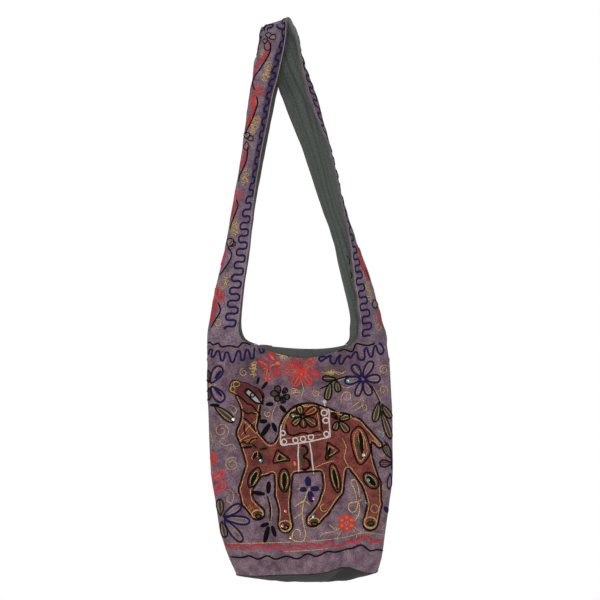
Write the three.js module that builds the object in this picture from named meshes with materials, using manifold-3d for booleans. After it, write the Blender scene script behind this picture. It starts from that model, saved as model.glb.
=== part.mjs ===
// An embroidered cloth shoulder bag, hanging by its strap.
// Millimetres, +Z up, +X to the right of the front view, +Y from the front to the back.
// The origin is on the strap's lining under the crown of its loop, where a peg or a shoulder carries it.
import * as THREE from "three";
import { mergeVertices } from "three/addons/utils/BufferGeometryUtils.js";
import Module from "manifold-3d";

const wasm = await Module();
wasm.setup();

// Driving dimensions
const clothWall = 1.6;
const liningWall = 1.0;
const baseWall = 1.5;
const patchWall = 1.0;
const seamGap = 0.3;
const strapToSeam = 513.6; // crown of the strap down to the seam where it joins the pouch
const frontLipDip = 20; // how far the middle of the front lip sags below the seam
const backLipDip = 6;
const lipRoundness = 1.2;
const baseSag = 13.5;
const baseSagShift = 12; // the lowest place of the base is this far right of its middle
const bottomFront = 355; // seam to the bottom edge at the middle of the front, the sides and the back
const bottomSide = 364;
const bottomBack = 372;
const liningSideRoom = 4; // the lining is cut this much narrower at each side fold
const liningDepthRoom = 3.4;
const liningHem = 2; // the lining stops this far below the lip
const foldRoundness = 0.4; // 0 would be a sharp fold along the middle of the strap
const rootBlend = 46; // height over which the strap takes on the section of the pouch

// Flat sections of the pouch, from the seam down. Left and right are the side folds,
// front and back the bulge of each face, and crease is 0.5 for an ellipse and more for a sharper fold.
const pouchSections = [
  { below: 0, left: -107.2, right: 177.9, front: 17, back: 20, crease: 0.6 },
  { below: 30, left: -106.7, right: 181.9, front: 24, back: 22, crease: 0.6 },
  { below: 62, left: -107, right: 183.6, front: 30, back: 25, crease: 0.59 },
  { below: 114, left: -104.8, right: 186.2, front: 37, back: 29, crease: 0.58 },
  { below: 155, left: -103.4, right: 186.4, front: 41, back: 32, crease: 0.56 },
  { below: 208, left: -100.4, right: 186.6, front: 46, back: 37, crease: 0.54 },
  { below: 248, left: -93.8, right: 181.8, front: 49, back: 42, crease: 0.51 },
  { below: 298, left: -86, right: 174.8, front: 52, back: 48, crease: 0.48 },
  { below: 336, left: -73, right: 169.6, front: 53, back: 51, crease: 0.45 },
  { below: 374, left: -58, right: 160, front: 50, back: 50, crease: 0.43 },
];

// Soft folds in each face: a ridge, or a dent where rise is negative, from one end to the other.
const frontFolds = [
  { x0: -40, below0: 5, x1: -11, below1: 75, width: 14, rise: -6 },
  { x0: -62, below0: 11, x1: -46, below1: 88, width: 14, rise: 4 },
  { x0: 114, below0: 11, x1: 82, below1: 69, width: 14, rise: -6 },
  { x0: 139, below0: 8, x1: 123, below1: 88, width: 14, rise: 4 },
  { x0: 16, below0: 22, x1: 88, below1: 22, width: 16, rise: 5 },
  { x0: 123, below0: 305, x1: 101, below1: 368, width: 13, rise: -7 },
  { x0: 152, below0: 290, x1: 143, below1: 363, width: 15, rise: 5 },
  { x0: -69, below0: 262, x1: -21, below1: 368, width: 18, rise: 5 },
  { x0: -80, below0: 130, x1: -64, below1: 240, width: 16, rise: -4 },
];
const backFolds = [
  { x0: -36, below0: 8, x1: 10, below1: 110, width: 20, rise: -6 },
  { x0: 112, below0: 8, x1: 66, below1: 110, width: 20, rise: -6 },
  { x0: -40, below0: 250, x1: 0, below1: 368, width: 20, rise: 6 },
  { x0: 130, below0: 240, x1: 84, below1: 368, width: 20, rise: 6 },
];
// Where the lower edge of the front is pushed up at the right of the base.
const frontLift = { x: 114, height: 14, width: 30, reach: 75 };

// The strap from its left root over the crown to its right root. x and z place the fold along its
// middle, half is the width of each half, front and back are the directions of the two halves seen
// from above, in degrees from +X, and lean is how far the back edge is raised and the front lowered.
const strapStations = [
  { x: -107.2, z: -513.6, half: 80, front: -11, back: 13, lean: 0 },
  { x: -107, z: -507.2, half: 64, front: -13, back: 14, lean: 0 },
  { x: -105.9, z: -499.2, half: 57, front: -16, back: 15, lean: 0 },
  { x: -103.8, z: -483.2, half: 52, front: -19, back: 16, lean: 0 },
  { x: -100.8, z: -460.8, half: 50, front: -22, back: 19, lean: 0 },
  { x: -92.8, z: -417.6, half: 50, front: -29.5, back: 30, lean: 0 },
  { x: -79, z: -361.6, half: 50, front: -40, back: 41.5, lean: 0 },
  { x: -65, z: -281.6, half: 50, front: -47, back: 48, lean: 0 },
  { x: -51.2, z: -201.6, half: 50, front: -47, back: 46.5, lean: 0 },
  { x: -40.6, z: -121.6, half: 50, front: -39.5, back: 38, lean: 0 },
  { x: -35.2, z: -89.6, half: 50, front: -34, back: 50, lean: 0 },
  { x: -29.5, z: -57.6, half: 50, front: -32, back: 84, lean: 0 },
  { x: -12.5, z: -25.6, half: 50, front: -51, back: 106, lean: 1 },
  { x: 0, z: 1.3, half: 50, front: -65, back: 116, lean: 2.5 },
  { x: 16.8, z: -13.4, half: 50, front: -76, back: 128, lean: 1 },
  { x: 31, z: -32.2, half: 50, front: -85, back: 140, lean: 0 },
  { x: 42, z: -65.6, half: 50, front: -92, back: 154, lean: 0 },
  { x: 58.2, z: -104, half: 53, front: -101.5, back: 167.5, lean: 0 },
  { x: 65.4, z: -121.6, half: 53, front: -105, back: 171, lean: 0 },
  { x: 76.8, z: -169.6, half: 50, front: -97, back: 153, lean: 0 },
  { x: 85.6, z: -204.8, half: 50, front: -91, back: 141, lean: 0 },
  { x: 104.5, z: -281.6, half: 50, front: -92.5, back: 131, lean: 0 },
  { x: 127, z: -345.6, half: 50, front: -102, back: 131, lean: 0 },
  { x: 146.3, z: -395.2, half: 50, front: -118, back: 147, lean: 0 },
  { x: 166.4, z: -460.8, half: 51, front: -134, back: 156, lean: 0 },
  { x: 172.5, z: -487.2, half: 53, front: -144, back: 161, lean: 0 },
  { x: 174.6, z: -499.2, half: 55, front: -152, back: 165, lean: 0 },
  { x: 177, z: -507.2, half: 59, front: -160, back: 167, lean: 0 },
  { x: 178, z: -513.6, half: 66, front: -168, back: 168, lean: 0 },
];

// The camel of the front patch, as chains of round-ended tapered strokes on a drawing grid.
// x and z count grid steps from the middle of its belly, and r is half the stroke's width.
const camelStep = 1.565;
const camelMiddle = { x: 52.5, z: -703 };
const camelChains = {
  head: [
    { x: -72.5, z: 81, r: 5.5 },
    { x: -63, z: 77, r: 6.8 },
    { x: -53, z: 70, r: 9 },
  ],
  neck: [
    { x: -57, z: 64, r: 10 },
    { x: -58, z: 48, r: 8.4 },
    { x: -61, z: 34, r: 10.2 },
    { x: -48, z: 10, r: 15 },
  ],
  back: [
    { x: -48, z: 10, r: 15 },
    { x: -31, z: 8, r: 14 },
    { x: -10, z: 18, r: 24 },
    { x: 32, z: 26, r: 28 },
    { x: 44, z: 22, r: 19 },
  ],
  hump: [
    { x: 1, z: 34, r: 30 },
    { x: 12, z: 30, r: 30 },
  ],
  bentForeleg: [
    { x: -52, z: 0, r: 10 },
    { x: -62.5, z: -22, r: 6.5 },
    { x: -60, z: -35, r: 6 },
    { x: -50, z: -46, r: 7 },
  ],
  foreleg: [
    { x: -25, z: 2, r: 12 },
    { x: -25, z: -27, r: 8 },
    { x: -23.5, z: -43, r: 5.5 },
    { x: -22.5, z: -58, r: 7.5 },
  ],
  hindleg: [
    { x: 26, z: 4, r: 13 },
    { x: 25.5, z: -22, r: 10 },
    { x: 15, z: -42, r: 7 },
    { x: 5, z: -53, r: 7 },
  ],
  rump: [
    { x: 45, z: 20, r: 18.5 },
    { x: 51, z: 1, r: 14.5 },
    { x: 61.5, z: -17, r: 10.6 },
    { x: 66, z: -37, r: 7 },
    { x: 62, z: -56, r: 7.5 },
  ],
  tail: [
    { x: 50, z: 46, r: 3 },
    { x: 71, z: 22, r: 3.2 },
  ],
};
const camelArcSides = 5;

// Mesh steps
const frontColumns = 24;
const frontRows = 18;
const backColumns = 24;
const backRows = 12;
const liningColumns = 32;
const liningRows = 11;
const liningFloorRings = 4;
const baseColumns = 48;
const baseRings = 4;
const strapColumns = 8;
const strapRows = 56;

const radians = (degrees) => (degrees * Math.PI) / 180;
const mix = THREE.MathUtils.lerp;

// A smooth curve through one column of a table, at a place counted in rows.
function throughRows(rows, column, place) {
  const last = rows.length - 1;
  const row = Math.min(Math.floor(place), last - 1);
  const at = (i) => rows[Math.max(0, Math.min(last, i))][column];
  const [a, b, c, d] = [at(row - 1), at(row), at(row + 1), at(row + 2)];
  const t = place - row;
  return b + 0.5 * t * (c - a + t * (2 * a - 5 * b + 4 * c - d + t * (3 * (b - c) + d - a)));
}

// The section of the pouch at a drop below the seam.
function sectionAt(below) {
  const last = pouchSections.length - 1;
  let row = 0;
  while (row < last - 1 && pouchSections[row + 1].below < below) row += 1;
  const upper = pouchSections[row];
  const lower = pouchSections[row + 1];
  const place = row + THREE.MathUtils.clamp((below - upper.below) / (lower.below - upper.below), 0, 1);
  const columns = ["left", "right", "front", "back", "crease"];
  return Object.fromEntries(columns.map((column) => [column, throughRows(pouchSections, column, place)]));
}

// How far the folds of a table push a face out at a place on it.
function foldRise(folds, x, below) {
  let rise = 0;
  for (const fold of folds) {
    const along = new THREE.Vector2(fold.x1 - fold.x0, fold.below1 - fold.below0);
    const from = new THREE.Vector2(x - fold.x0, below - fold.below0);
    const share = THREE.MathUtils.clamp(from.dot(along) / along.lengthSq(), 0, 1);
    const away = from.distanceTo(along.clone().multiplyScalar(share));
    rise += fold.rise * Math.exp(-((away / fold.width) ** 2));
  }
  return rise;
}

// How far the lower edge of the front is lifted at a place on it.
function liftAt(x, below) {
  const sideways = (x - frontLift.x) / frontLift.width;
  const up = (below - bottomFront) / frontLift.reach;
  return frontLift.height * Math.exp(-sideways * sideways - up * up);
}

// A point on the inner face of the pouch's cloth. Face is -1 for the front and 1 for the back, and
// across runs from -1 at the left fold to 1 at the right one. The rooms make a smaller sleeve inside.
function pouchPoint(face, across, below, sideRoom = 0, depthRoom = 0) {
  const section = sectionAt(below);
  const middle = (section.left + section.right) / 2;
  const half = (section.right - section.left) / 2 - sideRoom;
  const share = Math.sin((across * Math.PI) / 2);
  const fullness = 1 - share * share;
  const x = middle + half * share;
  const bulge = (face < 0 ? section.front : section.back) - depthRoom;
  const folds = foldRise(face < 0 ? frontFolds : backFolds, x, below);
  const depth = bulge * Math.max(fullness, 0) ** section.crease + folds * fullness;
  const lift = face < 0 ? liftAt(x, below) * fullness : 0;
  return new THREE.Vector3(x, face * depth, lift - strapToSeam - below);
}

// Seam to the lip: level where the strap is sewn on, sagging across the mouth.
function lipBelow(face, across) {
  const { left, right } = pouchSections[0];
  const x = pouchPoint(face, across, 0).x;
  const mouthLeft = left + strapStations.at(0).half;
  const mouthRight = right - strapStations.at(-1).half;
  const share = (2 * x - mouthLeft - mouthRight) / (mouthRight - mouthLeft);
  const dip = face < 0 ? frontLipDip : backLipDip;
  return dip * Math.max(0, 1 - share * share) ** lipRoundness;
}

// Seam to the bottom edge, highest at the middle of the front.
function bottomBelow(face, across) {
  const middle = face < 0 ? bottomFront : bottomBack;
  return mix(bottomSide, middle, Math.cos((across * Math.PI) / 2) ** 2);
}

// The outward direction of the pouch's cloth.
function pouchNormal(face, across, below) {
  const step = 0.01;
  const place = THREE.MathUtils.clamp(across, step - 0.99, 0.99 - step);
  const sideways = pouchPoint(face, place + step, below).sub(pouchPoint(face, place - step, below));
  const down = pouchPoint(face, place, below + 1).sub(pouchPoint(face, place, below - 1));
  const normal = sideways.cross(down).normalize();
  return normal.multiplyScalar(face);
}

// A closed geometry from points and triangles: shared points are merged, slivers with no area are
// dropped, and the faces are turned to point out.
function closedGeometry(positions, triangles) {
  const raw = new THREE.BufferGeometry();
  raw.setAttribute("position", new THREE.Float32BufferAttribute(positions, 3));
  raw.setIndex(triangles);
  const geometry = mergeVertices(raw, 1e-3);
  const points = geometry.getAttribute("position");
  const corner = (i) => new THREE.Vector3().fromBufferAttribute(points, i);
  const kept = [];
  let volume = 0;
  for (let i = 0; i < geometry.index.count; i += 3) {
    const [a, b, c] = [0, 1, 2].map((k) => geometry.index.getX(i + k));
    if (a === b || b === c || c === a) continue;
    kept.push(a, b, c);
    volume += corner(a).dot(corner(b).cross(corner(c)));
  }
  geometry.setIndex(volume < 0 ? kept.reverse() : kept);
  return geometry;
}

// A wall between two grids of points, columns by rows. A wrapped grid closes on its first column,
// and a last row that is a single point closes the end.
function wallGeometry(inner, outer, wrapped = false) {
  const columns = inner.length;
  const rows = inner[0].length;
  const positions = [];
  const placed = (p) => positions.push(p.x, p.y, p.z) / 3 - 1;
  const inside = inner.map((column) => column.map(placed));
  const outside = outer.map((column) => column.map(placed));
  const triangles = [];
  const quad = (a, b, c, d) => triangles.push(a, b, c, a, c, d);
  const spans = wrapped ? columns : columns - 1;
  for (let i = 0; i < spans; i += 1) {
    const k = (i + 1) % columns;
    for (let j = 0; j < rows - 1; j += 1) {
      quad(outside[i][j], outside[i][j + 1], outside[k][j + 1], outside[k][j]);
      quad(inside[i][j], inside[k][j], inside[k][j + 1], inside[i][j + 1]);
    }
    quad(outside[i][0], outside[k][0], inside[k][0], inside[i][0]);
    quad(outside[k][rows - 1], outside[i][rows - 1], inside[i][rows - 1], inside[k][rows - 1]);
  }
  for (let j = 0; !wrapped && j < rows - 1; j += 1) {
    quad(outside[0][j + 1], outside[0][j], inside[0][j], inside[0][j + 1]);
    const end = columns - 1;
    quad(outside[end][j], outside[end][j + 1], inside[end][j + 1], inside[end][j]);
  }
  return closedGeometry(positions, triangles);
}

// A grid of points from a function of two shares, each from 0 to 1.
function grid(columns, rows, point, wrapped = false) {
  const countAcross = wrapped ? columns : columns + 1;
  const column = (i) => Array.from({ length: rows + 1 }, (_, j) => point(i / columns, j / rows));
  return Array.from({ length: countAcross }, (_, i) => column(i));
}

// One face of the pouch, moved off its inner side by a distance.
function facePoints(face, columns, rows, offset) {
  return grid(columns, rows, (acrossShare, downShare) => {
    const across = 2 * acrossShare - 1;
    const top = lipBelow(face, across) + seamGap / 2;
    const below = mix(top, bottomBelow(face, across), downShare);
    const point = pouchPoint(face, across, below);
    point.y += (face * seamGap) / 2;
    return point.addScaledVector(pouchNormal(face, across, below), offset);
  });
}

function facePanel(face, columns, rows) {
  return wallGeometry(facePoints(face, columns, rows, 0), facePoints(face, columns, rows, clothWall));
}

// A turn round the pouch, from 0 to 1, as a face and a place across it.
function roundPouch(turn) {
  const front = turn < 0.5;
  return { face: front ? -1 : 1, across: front ? 4 * turn - 1 : 3 - 4 * turn };
}

// The bottom edge of the pouch at a turn, grown outwards and dropped.
function bottomEdge(turn, grow, drop) {
  const { face, across } = roundPouch(turn);
  const below = bottomBelow(face, across);
  const point = pouchPoint(face, across, below);
  point.addScaledVector(pouchNormal(face, across, below), grow);
  point.z -= drop;
  return point;
}

// The oval base, sagging between the bottom edges of the two faces.
function basePanel() {
  const skin = (drop) => {
    const middle = bottomEdge(0.25, 0, drop).add(bottomEdge(0.75, 0, drop)).multiplyScalar(0.5);
    middle.x += baseSagShift;
    return grid(
      baseColumns,
      baseRings,
      (turn, inShare) => {
        const point = bottomEdge(turn, clothWall, drop).lerp(middle, inShare);
        point.z -= baseSag * (1 - (1 - inShare) ** 2);
        return point;
      },
      true,
    );
  };
  return wallGeometry(skin(seamGap), skin(seamGap + baseWall), true);
}

// The lining of the pouch: a sleeve inside the two faces, closed by a floor above the base.
function pouchLining() {
  const floorRoom = 3;
  const skin = (thickness) => {
    const sideRoom = liningSideRoom + 2 * thickness;
    const depthRoom = liningDepthRoom + thickness;
    const wallPoint = (turn, share) => {
      const { face, across } = roundPouch(turn);
      const top = lipBelow(face, across) + liningHem;
      const below = mix(top, bottomBelow(face, across) - floorRoom - thickness, share);
      return pouchPoint(face, across, below, sideRoom, depthRoom);
    };
    const middle = wallPoint(0.25, 1).add(wallPoint(0.75, 1)).multiplyScalar(0.5);
    middle.x += baseSagShift;
    const rows = liningRows + liningFloorRings;
    return grid(
      liningColumns,
      rows,
      (turn, share) => {
        const wallShare = Math.min(1, (share * rows) / liningRows);
        const inShare = Math.max(0, (share * rows - liningRows) / liningFloorRings);
        const point = wallPoint(turn, wallShare).lerp(middle, inShare);
        point.z -= baseSag * (1 - (1 - inShare) ** 2);
        return point;
      },
      true,
    );
  };
  return wallGeometry(skin(liningWall), skin(0), true);
}

// A point on the strap's inner face. Across runs from -1 at the front edge to 1 at the back edge.
function bandPoint(place, across) {
  const value = (column) => throughRows(strapStations, column, place);
  const direction = (degrees) => new THREE.Vector3(Math.cos(radians(degrees)), Math.sin(radians(degrees)), 0);
  const toFront = direction(value("front"));
  const toBack = direction(value("back"));
  const softened = (s) => Math.hypot(s, foldRoundness) - foldRoundness;
  const inward = toFront.clone().add(toBack).multiplyScalar(0.5 * (softened(across) / softened(1)));
  const sideways = toBack.sub(toFront).multiplyScalar(0.5 * across);
  const point = inward.add(sideways).multiplyScalar(value("half"));
  return point.add(new THREE.Vector3(value("x"), 0, value("z") + value("lean") * across));
}

// The same point where the strap is sewn on: on the section of the pouch at the seam.
function rootPoint(place, across) {
  const atLeft = place < strapStations.length / 2;
  const fromFold = throughRows(strapStations, "half", place) * Math.abs(across);
  const { left, right } = pouchSections[0];
  const angle = (2 / Math.PI) * Math.asin(1 - (2 * fromFold) / (right - left));
  return pouchPoint(across < 0 ? -1 : 1, atLeft ? -angle : angle, 0);
}

function strapPoint(place, across) {
  const band = bandPoint(place, across);
  const above = band.z + strapToSeam;
  const root = rootPoint(place, across);
  const free = THREE.MathUtils.smoothstep(above, 0, rootBlend);
  return new THREE.Vector3(mix(root.x, band.x, free), mix(root.y, band.y, free), band.z);
}

function strapNormal(place, across) {
  const step = 0.02;
  const last = strapStations.length - 1;
  const before = Math.max(0, place - step);
  const after = Math.min(last, place + step);
  const along = strapPoint(after, across).sub(strapPoint(before, across));
  const sideways = strapPoint(place, across + step).sub(strapPoint(place, across - step));
  return along.cross(sideways).normalize();
}

// The strap moved off its inner face by a distance, ending just above the seam.
function strapPoints(offset, reach) {
  const last = strapStations.length - 1;
  return grid(strapColumns, strapRows, (acrossShare, alongShare) => {
    const across = THREE.MathUtils.clamp(2 * acrossShare - 1, -reach, reach);
    const place = last * alongShare;
    const point = strapPoint(place, across).addScaledVector(strapNormal(place, across), offset);
    point.z = Math.max(point.z, seamGap / 2 - strapToSeam);
    return point;
  });
}

function strapBand(nearOffset, farOffset, reach = 1) {
  return wallGeometry(strapPoints(nearOffset, reach), strapPoints(farOffset, reach));
}

// A round-ended stroke that tapers from one grid place to the next, as a prism from front to back.
function strokePrism(from, to) {
  const place = (p) => ({
    x: camelMiddle.x + camelStep * p.x,
    z: camelMiddle.z + camelStep * p.z,
    r: camelStep * p.r,
  });
  const [a, b] = [place(from), place(to)];
  const length = Math.hypot(b.x - a.x, b.z - a.z);
  const heading = Math.atan2(b.z - a.z, b.x - a.x);
  const lean = Math.acos((a.r - b.r) / length);
  const outline = new THREE.Shape();
  outline.absarc(b.x, b.z, b.r, heading - lean, heading + lean);
  outline.absarc(a.x, a.z, a.r, heading + lean, heading - lean + 2 * Math.PI);
  const prism = new THREE.ExtrudeGeometry(outline, {
    depth: 150,
    bevelEnabled: false,
    curveSegments: camelArcSides,
  });
  return prism.rotateX(Math.PI / 2);
}

// A closed geometry as a solid that can be joined and cut, and back again.
function solidFrom(geometry) {
  const bare = geometry.clone();
  bare.deleteAttribute("normal");
  bare.deleteAttribute("uv");
  const merged = mergeVertices(bare, 1e-3);
  const vertProperties = new Float32Array(merged.getAttribute("position").array);
  const triVerts = new Uint32Array(merged.index.array);
  return new wasm.Manifold(new wasm.Mesh({ numProp: 3, vertProperties, triVerts }));
}

function geometryFrom(solid) {
  const mesh = solid.getMesh();
  const geometry = new THREE.BufferGeometry();
  geometry.setAttribute("position", new THREE.Float32BufferAttribute(mesh.vertProperties, 3));
  geometry.setIndex(Array.from(mesh.triVerts));
  return geometry;
}

// The camel patch: its outline cut from a layer of cloth that lies on the front.
function camelPatch() {
  const near = facePoints(-1, frontColumns, frontRows, clothWall + seamGap);
  const far = facePoints(-1, frontColumns, frontRows, clothWall + seamGap + patchWall);
  const layer = solidFrom(wallGeometry(near, far));
  let outline = null;
  for (const chain of Object.values(camelChains)) {
    for (let i = 0; i < chain.length - 1; i += 1) {
      const stroke = solidFrom(strokePrism(chain[i], chain[i + 1]));
      outline = outline ? outline.add(stroke) : stroke;
    }
  }
  return geometryFrom(layer.intersect(outline));
}

const finishes = {
  lilacCloth: { color: 0x735f6c, roughness: 0.9 },
  greenCotton: { color: 0x4a504c, roughness: 0.92 },
  darkCotton: { color: 0x363834, roughness: 0.94 },
  maroonCloth: { color: 0x733c37, roughness: 0.9 },
};

function piece(name, geometry, finish) {
  const material = new THREE.MeshStandardMaterial({ ...finishes[finish], metalness: 0 });
  const mesh = new THREE.Mesh(geometry, material);
  mesh.name = name;
  return mesh;
}

const bag = new THREE.Group();
bag.add(
  piece("front_panel", facePanel(-1, frontColumns, frontRows), "lilacCloth"),
  piece("back_panel", facePanel(1, backColumns, backRows), "lilacCloth"),
  piece("base_panel", basePanel(), "darkCotton"),
  piece("pouch_lining", pouchLining(), "greenCotton"),
  piece("strap", strapBand(0, clothWall), "lilacCloth"),
  piece("strap_lining", strapBand(-seamGap - liningWall, -seamGap, 0.97), "greenCotton"),
  piece("camel_patch", camelPatch(), "maroonCloth"),
);

export default bag;
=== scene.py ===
# Embroidered shoulder bag hung by its strap: lilac cloth, cord-work flowers, camel patch, grey-green lining
import math

import bmesh
import bpy
import numpy as np
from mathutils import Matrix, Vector
from mathutils.bvhtree import BVHTree


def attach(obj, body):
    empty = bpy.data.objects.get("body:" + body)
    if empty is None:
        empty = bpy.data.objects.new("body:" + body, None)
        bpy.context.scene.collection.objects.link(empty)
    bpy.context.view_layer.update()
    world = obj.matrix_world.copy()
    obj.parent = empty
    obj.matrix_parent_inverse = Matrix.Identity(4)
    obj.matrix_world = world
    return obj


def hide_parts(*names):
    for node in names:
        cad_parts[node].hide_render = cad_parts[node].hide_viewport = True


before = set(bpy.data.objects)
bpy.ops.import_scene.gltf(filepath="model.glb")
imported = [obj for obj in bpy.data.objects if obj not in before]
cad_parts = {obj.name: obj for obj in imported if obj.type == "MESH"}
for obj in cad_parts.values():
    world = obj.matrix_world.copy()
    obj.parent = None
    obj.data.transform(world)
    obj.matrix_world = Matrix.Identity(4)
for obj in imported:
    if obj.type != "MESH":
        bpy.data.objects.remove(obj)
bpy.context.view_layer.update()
scene = bpy.context.scene
mm = 0.001

# the photograph: 600 pixels square, 1.6 mm a pixel on the plane of the side folds,
# with the eye before its middle; the strap's crown is the origin
photo = {
    "middle": 300.0, "crownX": 275.0, "crownY": 24.0, "mmPerPixel": 1.6,
    "away": 2000.0, "lens": 75.0, "sensor": 36.0,
}
eye = np.array([
    (photo["middle"] - photo["crownX"]) * photo["mmPerPixel"],
    -photo["away"],
    (photo["crownY"] - photo["middle"]) * photo["mmPerPixel"],
])

cameraData = bpy.data.cameras.new("photoCamera")
cameraData.lens = photo["lens"]
cameraData.sensor_width = photo["sensor"]
cameraData.clip_end = 30.0
camera = bpy.data.objects.new("photoCamera", cameraData)
camera.location = Vector(eye * mm)
camera.rotation_euler = (math.pi / 2, 0, 0)
scene.collection.objects.link(camera)
scene.camera = camera
scene.view_settings.view_transform = "Standard"
print("camera set")

# sections of the pouch, mm: below the seam, left and right side folds, depth of front and back,
# and the crease of the folds, 0.5 for an ellipse and more for a sharper fold
pouchSections = np.array([
    (0, -107.2, 177.9, 17, 20, 0.60),
    (30, -106.7, 181.9, 24, 22, 0.60),
    (62, -107.0, 183.6, 30, 25, 0.59),
    (114, -104.8, 186.2, 37, 29, 0.58),
    (155, -103.4, 186.4, 41, 32, 0.56),
    (208, -100.4, 186.6, 46, 37, 0.54),
    (248, -93.8, 181.8, 49, 42, 0.51),
    (298, -86.0, 174.8, 52, 48, 0.48),
    (336, -73.0, 169.6, 53, 51, 0.45),
    (374, -58.0, 160.0, 50, 50, 0.43),
])
# soft folds: x and depth below the seam at both ends, width, rise, mm
frontFolds = [
    (-40, 5, -11, 75, 14, -6),
    (-62, 11, -46, 88, 14, 4),
    (114, 11, 82, 69, 14, -6),
    (139, 8, 123, 88, 14, 4),
    (16, 22, 88, 22, 16, 5),
    (123, 305, 101, 368, 13, -7),
    (152, 290, 143, 363, 15, 5),
    (-69, 262, -21, 368, 18, 5),
    (-80, 130, -64, 240, 16, -4),
]
backFolds = [
    (-36, 8, 10, 110, 20, -6),
    (112, 8, 66, 110, 20, -6),
    (-40, 250, 0, 368, 20, 6),
    (130, 240, 84, 368, 20, 6),
]
# fold line of the strap, mm: x, z, half width, headings of the front and back halves, lean across
strapStations = np.array([
    (-107.2, -513.6, 80, -11, 13, 0),
    (-107.0, -507.2, 64, -13, 14, 0),
    (-105.9, -499.2, 57, -16, 15, 0),
    (-103.8, -483.2, 52, -19, 16, 0),
    (-100.8, -460.8, 50, -22, 19, 0),
    (-92.8, -417.6, 50, -29.5, 30, 0),
    (-79.0, -361.6, 50, -40, 41.5, 0),
    (-65.0, -281.6, 50, -47, 48, 0),
    (-51.2, -201.6, 50, -47, 46.5, 0),
    (-40.6, -121.6, 50, -39.5, 38, 0),
    (-35.2, -89.6, 50, -34, 38, 0),
    (-29.5, -57.6, 50, -32, 84, 0),
    (-12.5, -25.6, 50, -51, 106, 1),
    (0.0, 1.3, 50, -65, 116, 2.5),
    (16.8, -13.4, 50, -76, 128, 1),
    (31.0, -32.2, 50, -85, 140, 0),
    (42.0, -65.6, 50, -92, 154, 0),
    (58.2, -104.0, 53, -101.5, 167.5, 0),
    (65.4, -121.6, 53, -105, 171, 0),
    (76.8, -169.6, 50, -97, 153, 0),
    (85.6, -204.8, 50, -91, 141, 0),
    (104.5, -281.6, 50, -92.5, 131, 0),
    (127.0, -345.6, 50, -102, 131, 0),
    (146.3, -395.2, 50, -118, 147, 0),
    (166.4, -460.8, 51, -134, 156, 0),
    (172.5, -487.2, 53, -144, 161, 0),
    (174.6, -499.2, 55, -152, 165, 0),
    (177.0, -507.2, 59, -160, 167, 0),
    (178.0, -513.6, 66, -168, 168, 0),
])
pouch = {
    "seam": 513.6, "wall": 1.6, "halfGap": 0.15, "columns": 150, "rows": 150,
    "frontDip": 20, "backDip": 6.6, "backLean": 0.4, "frontRound": 1.2, "backRound": 0.9,
    "bottomFront": 355, "bottomSide": 364, "bottomBack": 372, "cornerLift": 5.5, "cornerFrom": 0.5,
    "leftTrim": 0.08, "rightTrim": 0.14, "trimLow": 8, "trimHigh": 52,
    "liftX": 122, "liftHeight": 18.5, "liftWidth": 34, "liftReach": 75,
    "crumple": 0.9, "innerCrumple": 0.8, "shortCrumple": 9.0, "longCrumple": 46.0,
    "edgeEase": 0.12, "sideEase": 0.6,
}


# smooth value down a column of a table, at a place counted in rows
def throughRows(column, place):
    last = len(column) - 1
    row = np.clip(np.floor(place).astype(int), 0, last - 1)
    t = place - row
    a = column[np.maximum(row - 1, 0)]
    b = column[row]
    c = column[row + 1]
    d = column[np.minimum(row + 2, last)]
    return b + 0.5 * t * (c - a + t * (2 * a - 5 * b + 4 * c - d + t * (3 * (b - c) + d - a)))


def smoothStep(value, low, high):
    t = np.clip((value - low) / (high - low), 0, 1)
    return t * t * (3 - 2 * t)


# small uneven crumpling of cloth, about -1 to 1
def crumple(a, b, seed, shortest, longest, waves=26):
    dice = np.random.default_rng(seed)
    total = np.zeros(np.broadcast(a, b).shape)
    for _ in range(waves):
        size = dice.random()
        turn = dice.random() * 2 * math.pi
        phase = dice.random() * 2 * math.pi
        length = shortest * (longest / shortest) ** size
        weight = (length / longest) ** 0.8
        total += weight * np.sin((a * math.cos(turn) + b * math.sin(turn)) * 2 * math.pi / length + phase)
    return total * 1.6 / math.sqrt(waves)


# how far the soft folds raise the cloth
def foldRise(folds, x, below):
    rise = np.zeros(np.broadcast(x, below).shape)
    for x0, below0, x1, below1, width, height in folds:
        alongX = x1 - x0
        alongBelow = below1 - below0
        share = ((x - x0) * alongX + (below - below0) * alongBelow) / (alongX ** 2 + alongBelow ** 2)
        share = np.clip(share, 0, 1)
        away2 = (x - x0 - share * alongX) ** 2 + (below - below0 - share * alongBelow) ** 2
        rise = rise + height * np.exp(-away2 / width ** 2)
    return rise


# place on the pouch: face is -1 in front and 1 behind, across goes from -1 to 1 between the side folds
def pouchPoint(face, across, below, sideRoom=0.0, depthRoom=0.0):
    face, across, below = np.broadcast_arrays(np.asarray(face, float), across, below)
    place = np.interp(below, pouchSections[:, 0], np.arange(len(pouchSections)))
    left, right, front, back, crease = (throughRows(pouchSections[:, i], place) for i in range(1, 6))
    share = np.sin(across * math.pi / 2)
    fullness = np.maximum(1 - share ** 2, 0)
    x = (left + right) / 2 + ((right - left) / 2 - sideRoom) * share
    bulge = np.where(face < 0, front, back) - depthRoom
    folds = np.where(face < 0, foldRise(frontFolds, x, below), foldRise(backFolds, x, below))
    depth = bulge * fullness ** crease + folds * fullness
    lift = ((x - pouch["liftX"]) / pouch["liftWidth"]) ** 2
    lift = lift + ((below - pouch["bottomFront"]) / pouch["liftReach"]) ** 2
    lift = np.where(face < 0, pouch["liftHeight"] * np.exp(-lift) * fullness, 0)
    return np.stack([x, face * depth, lift - pouch["seam"] - below], -1)


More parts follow.
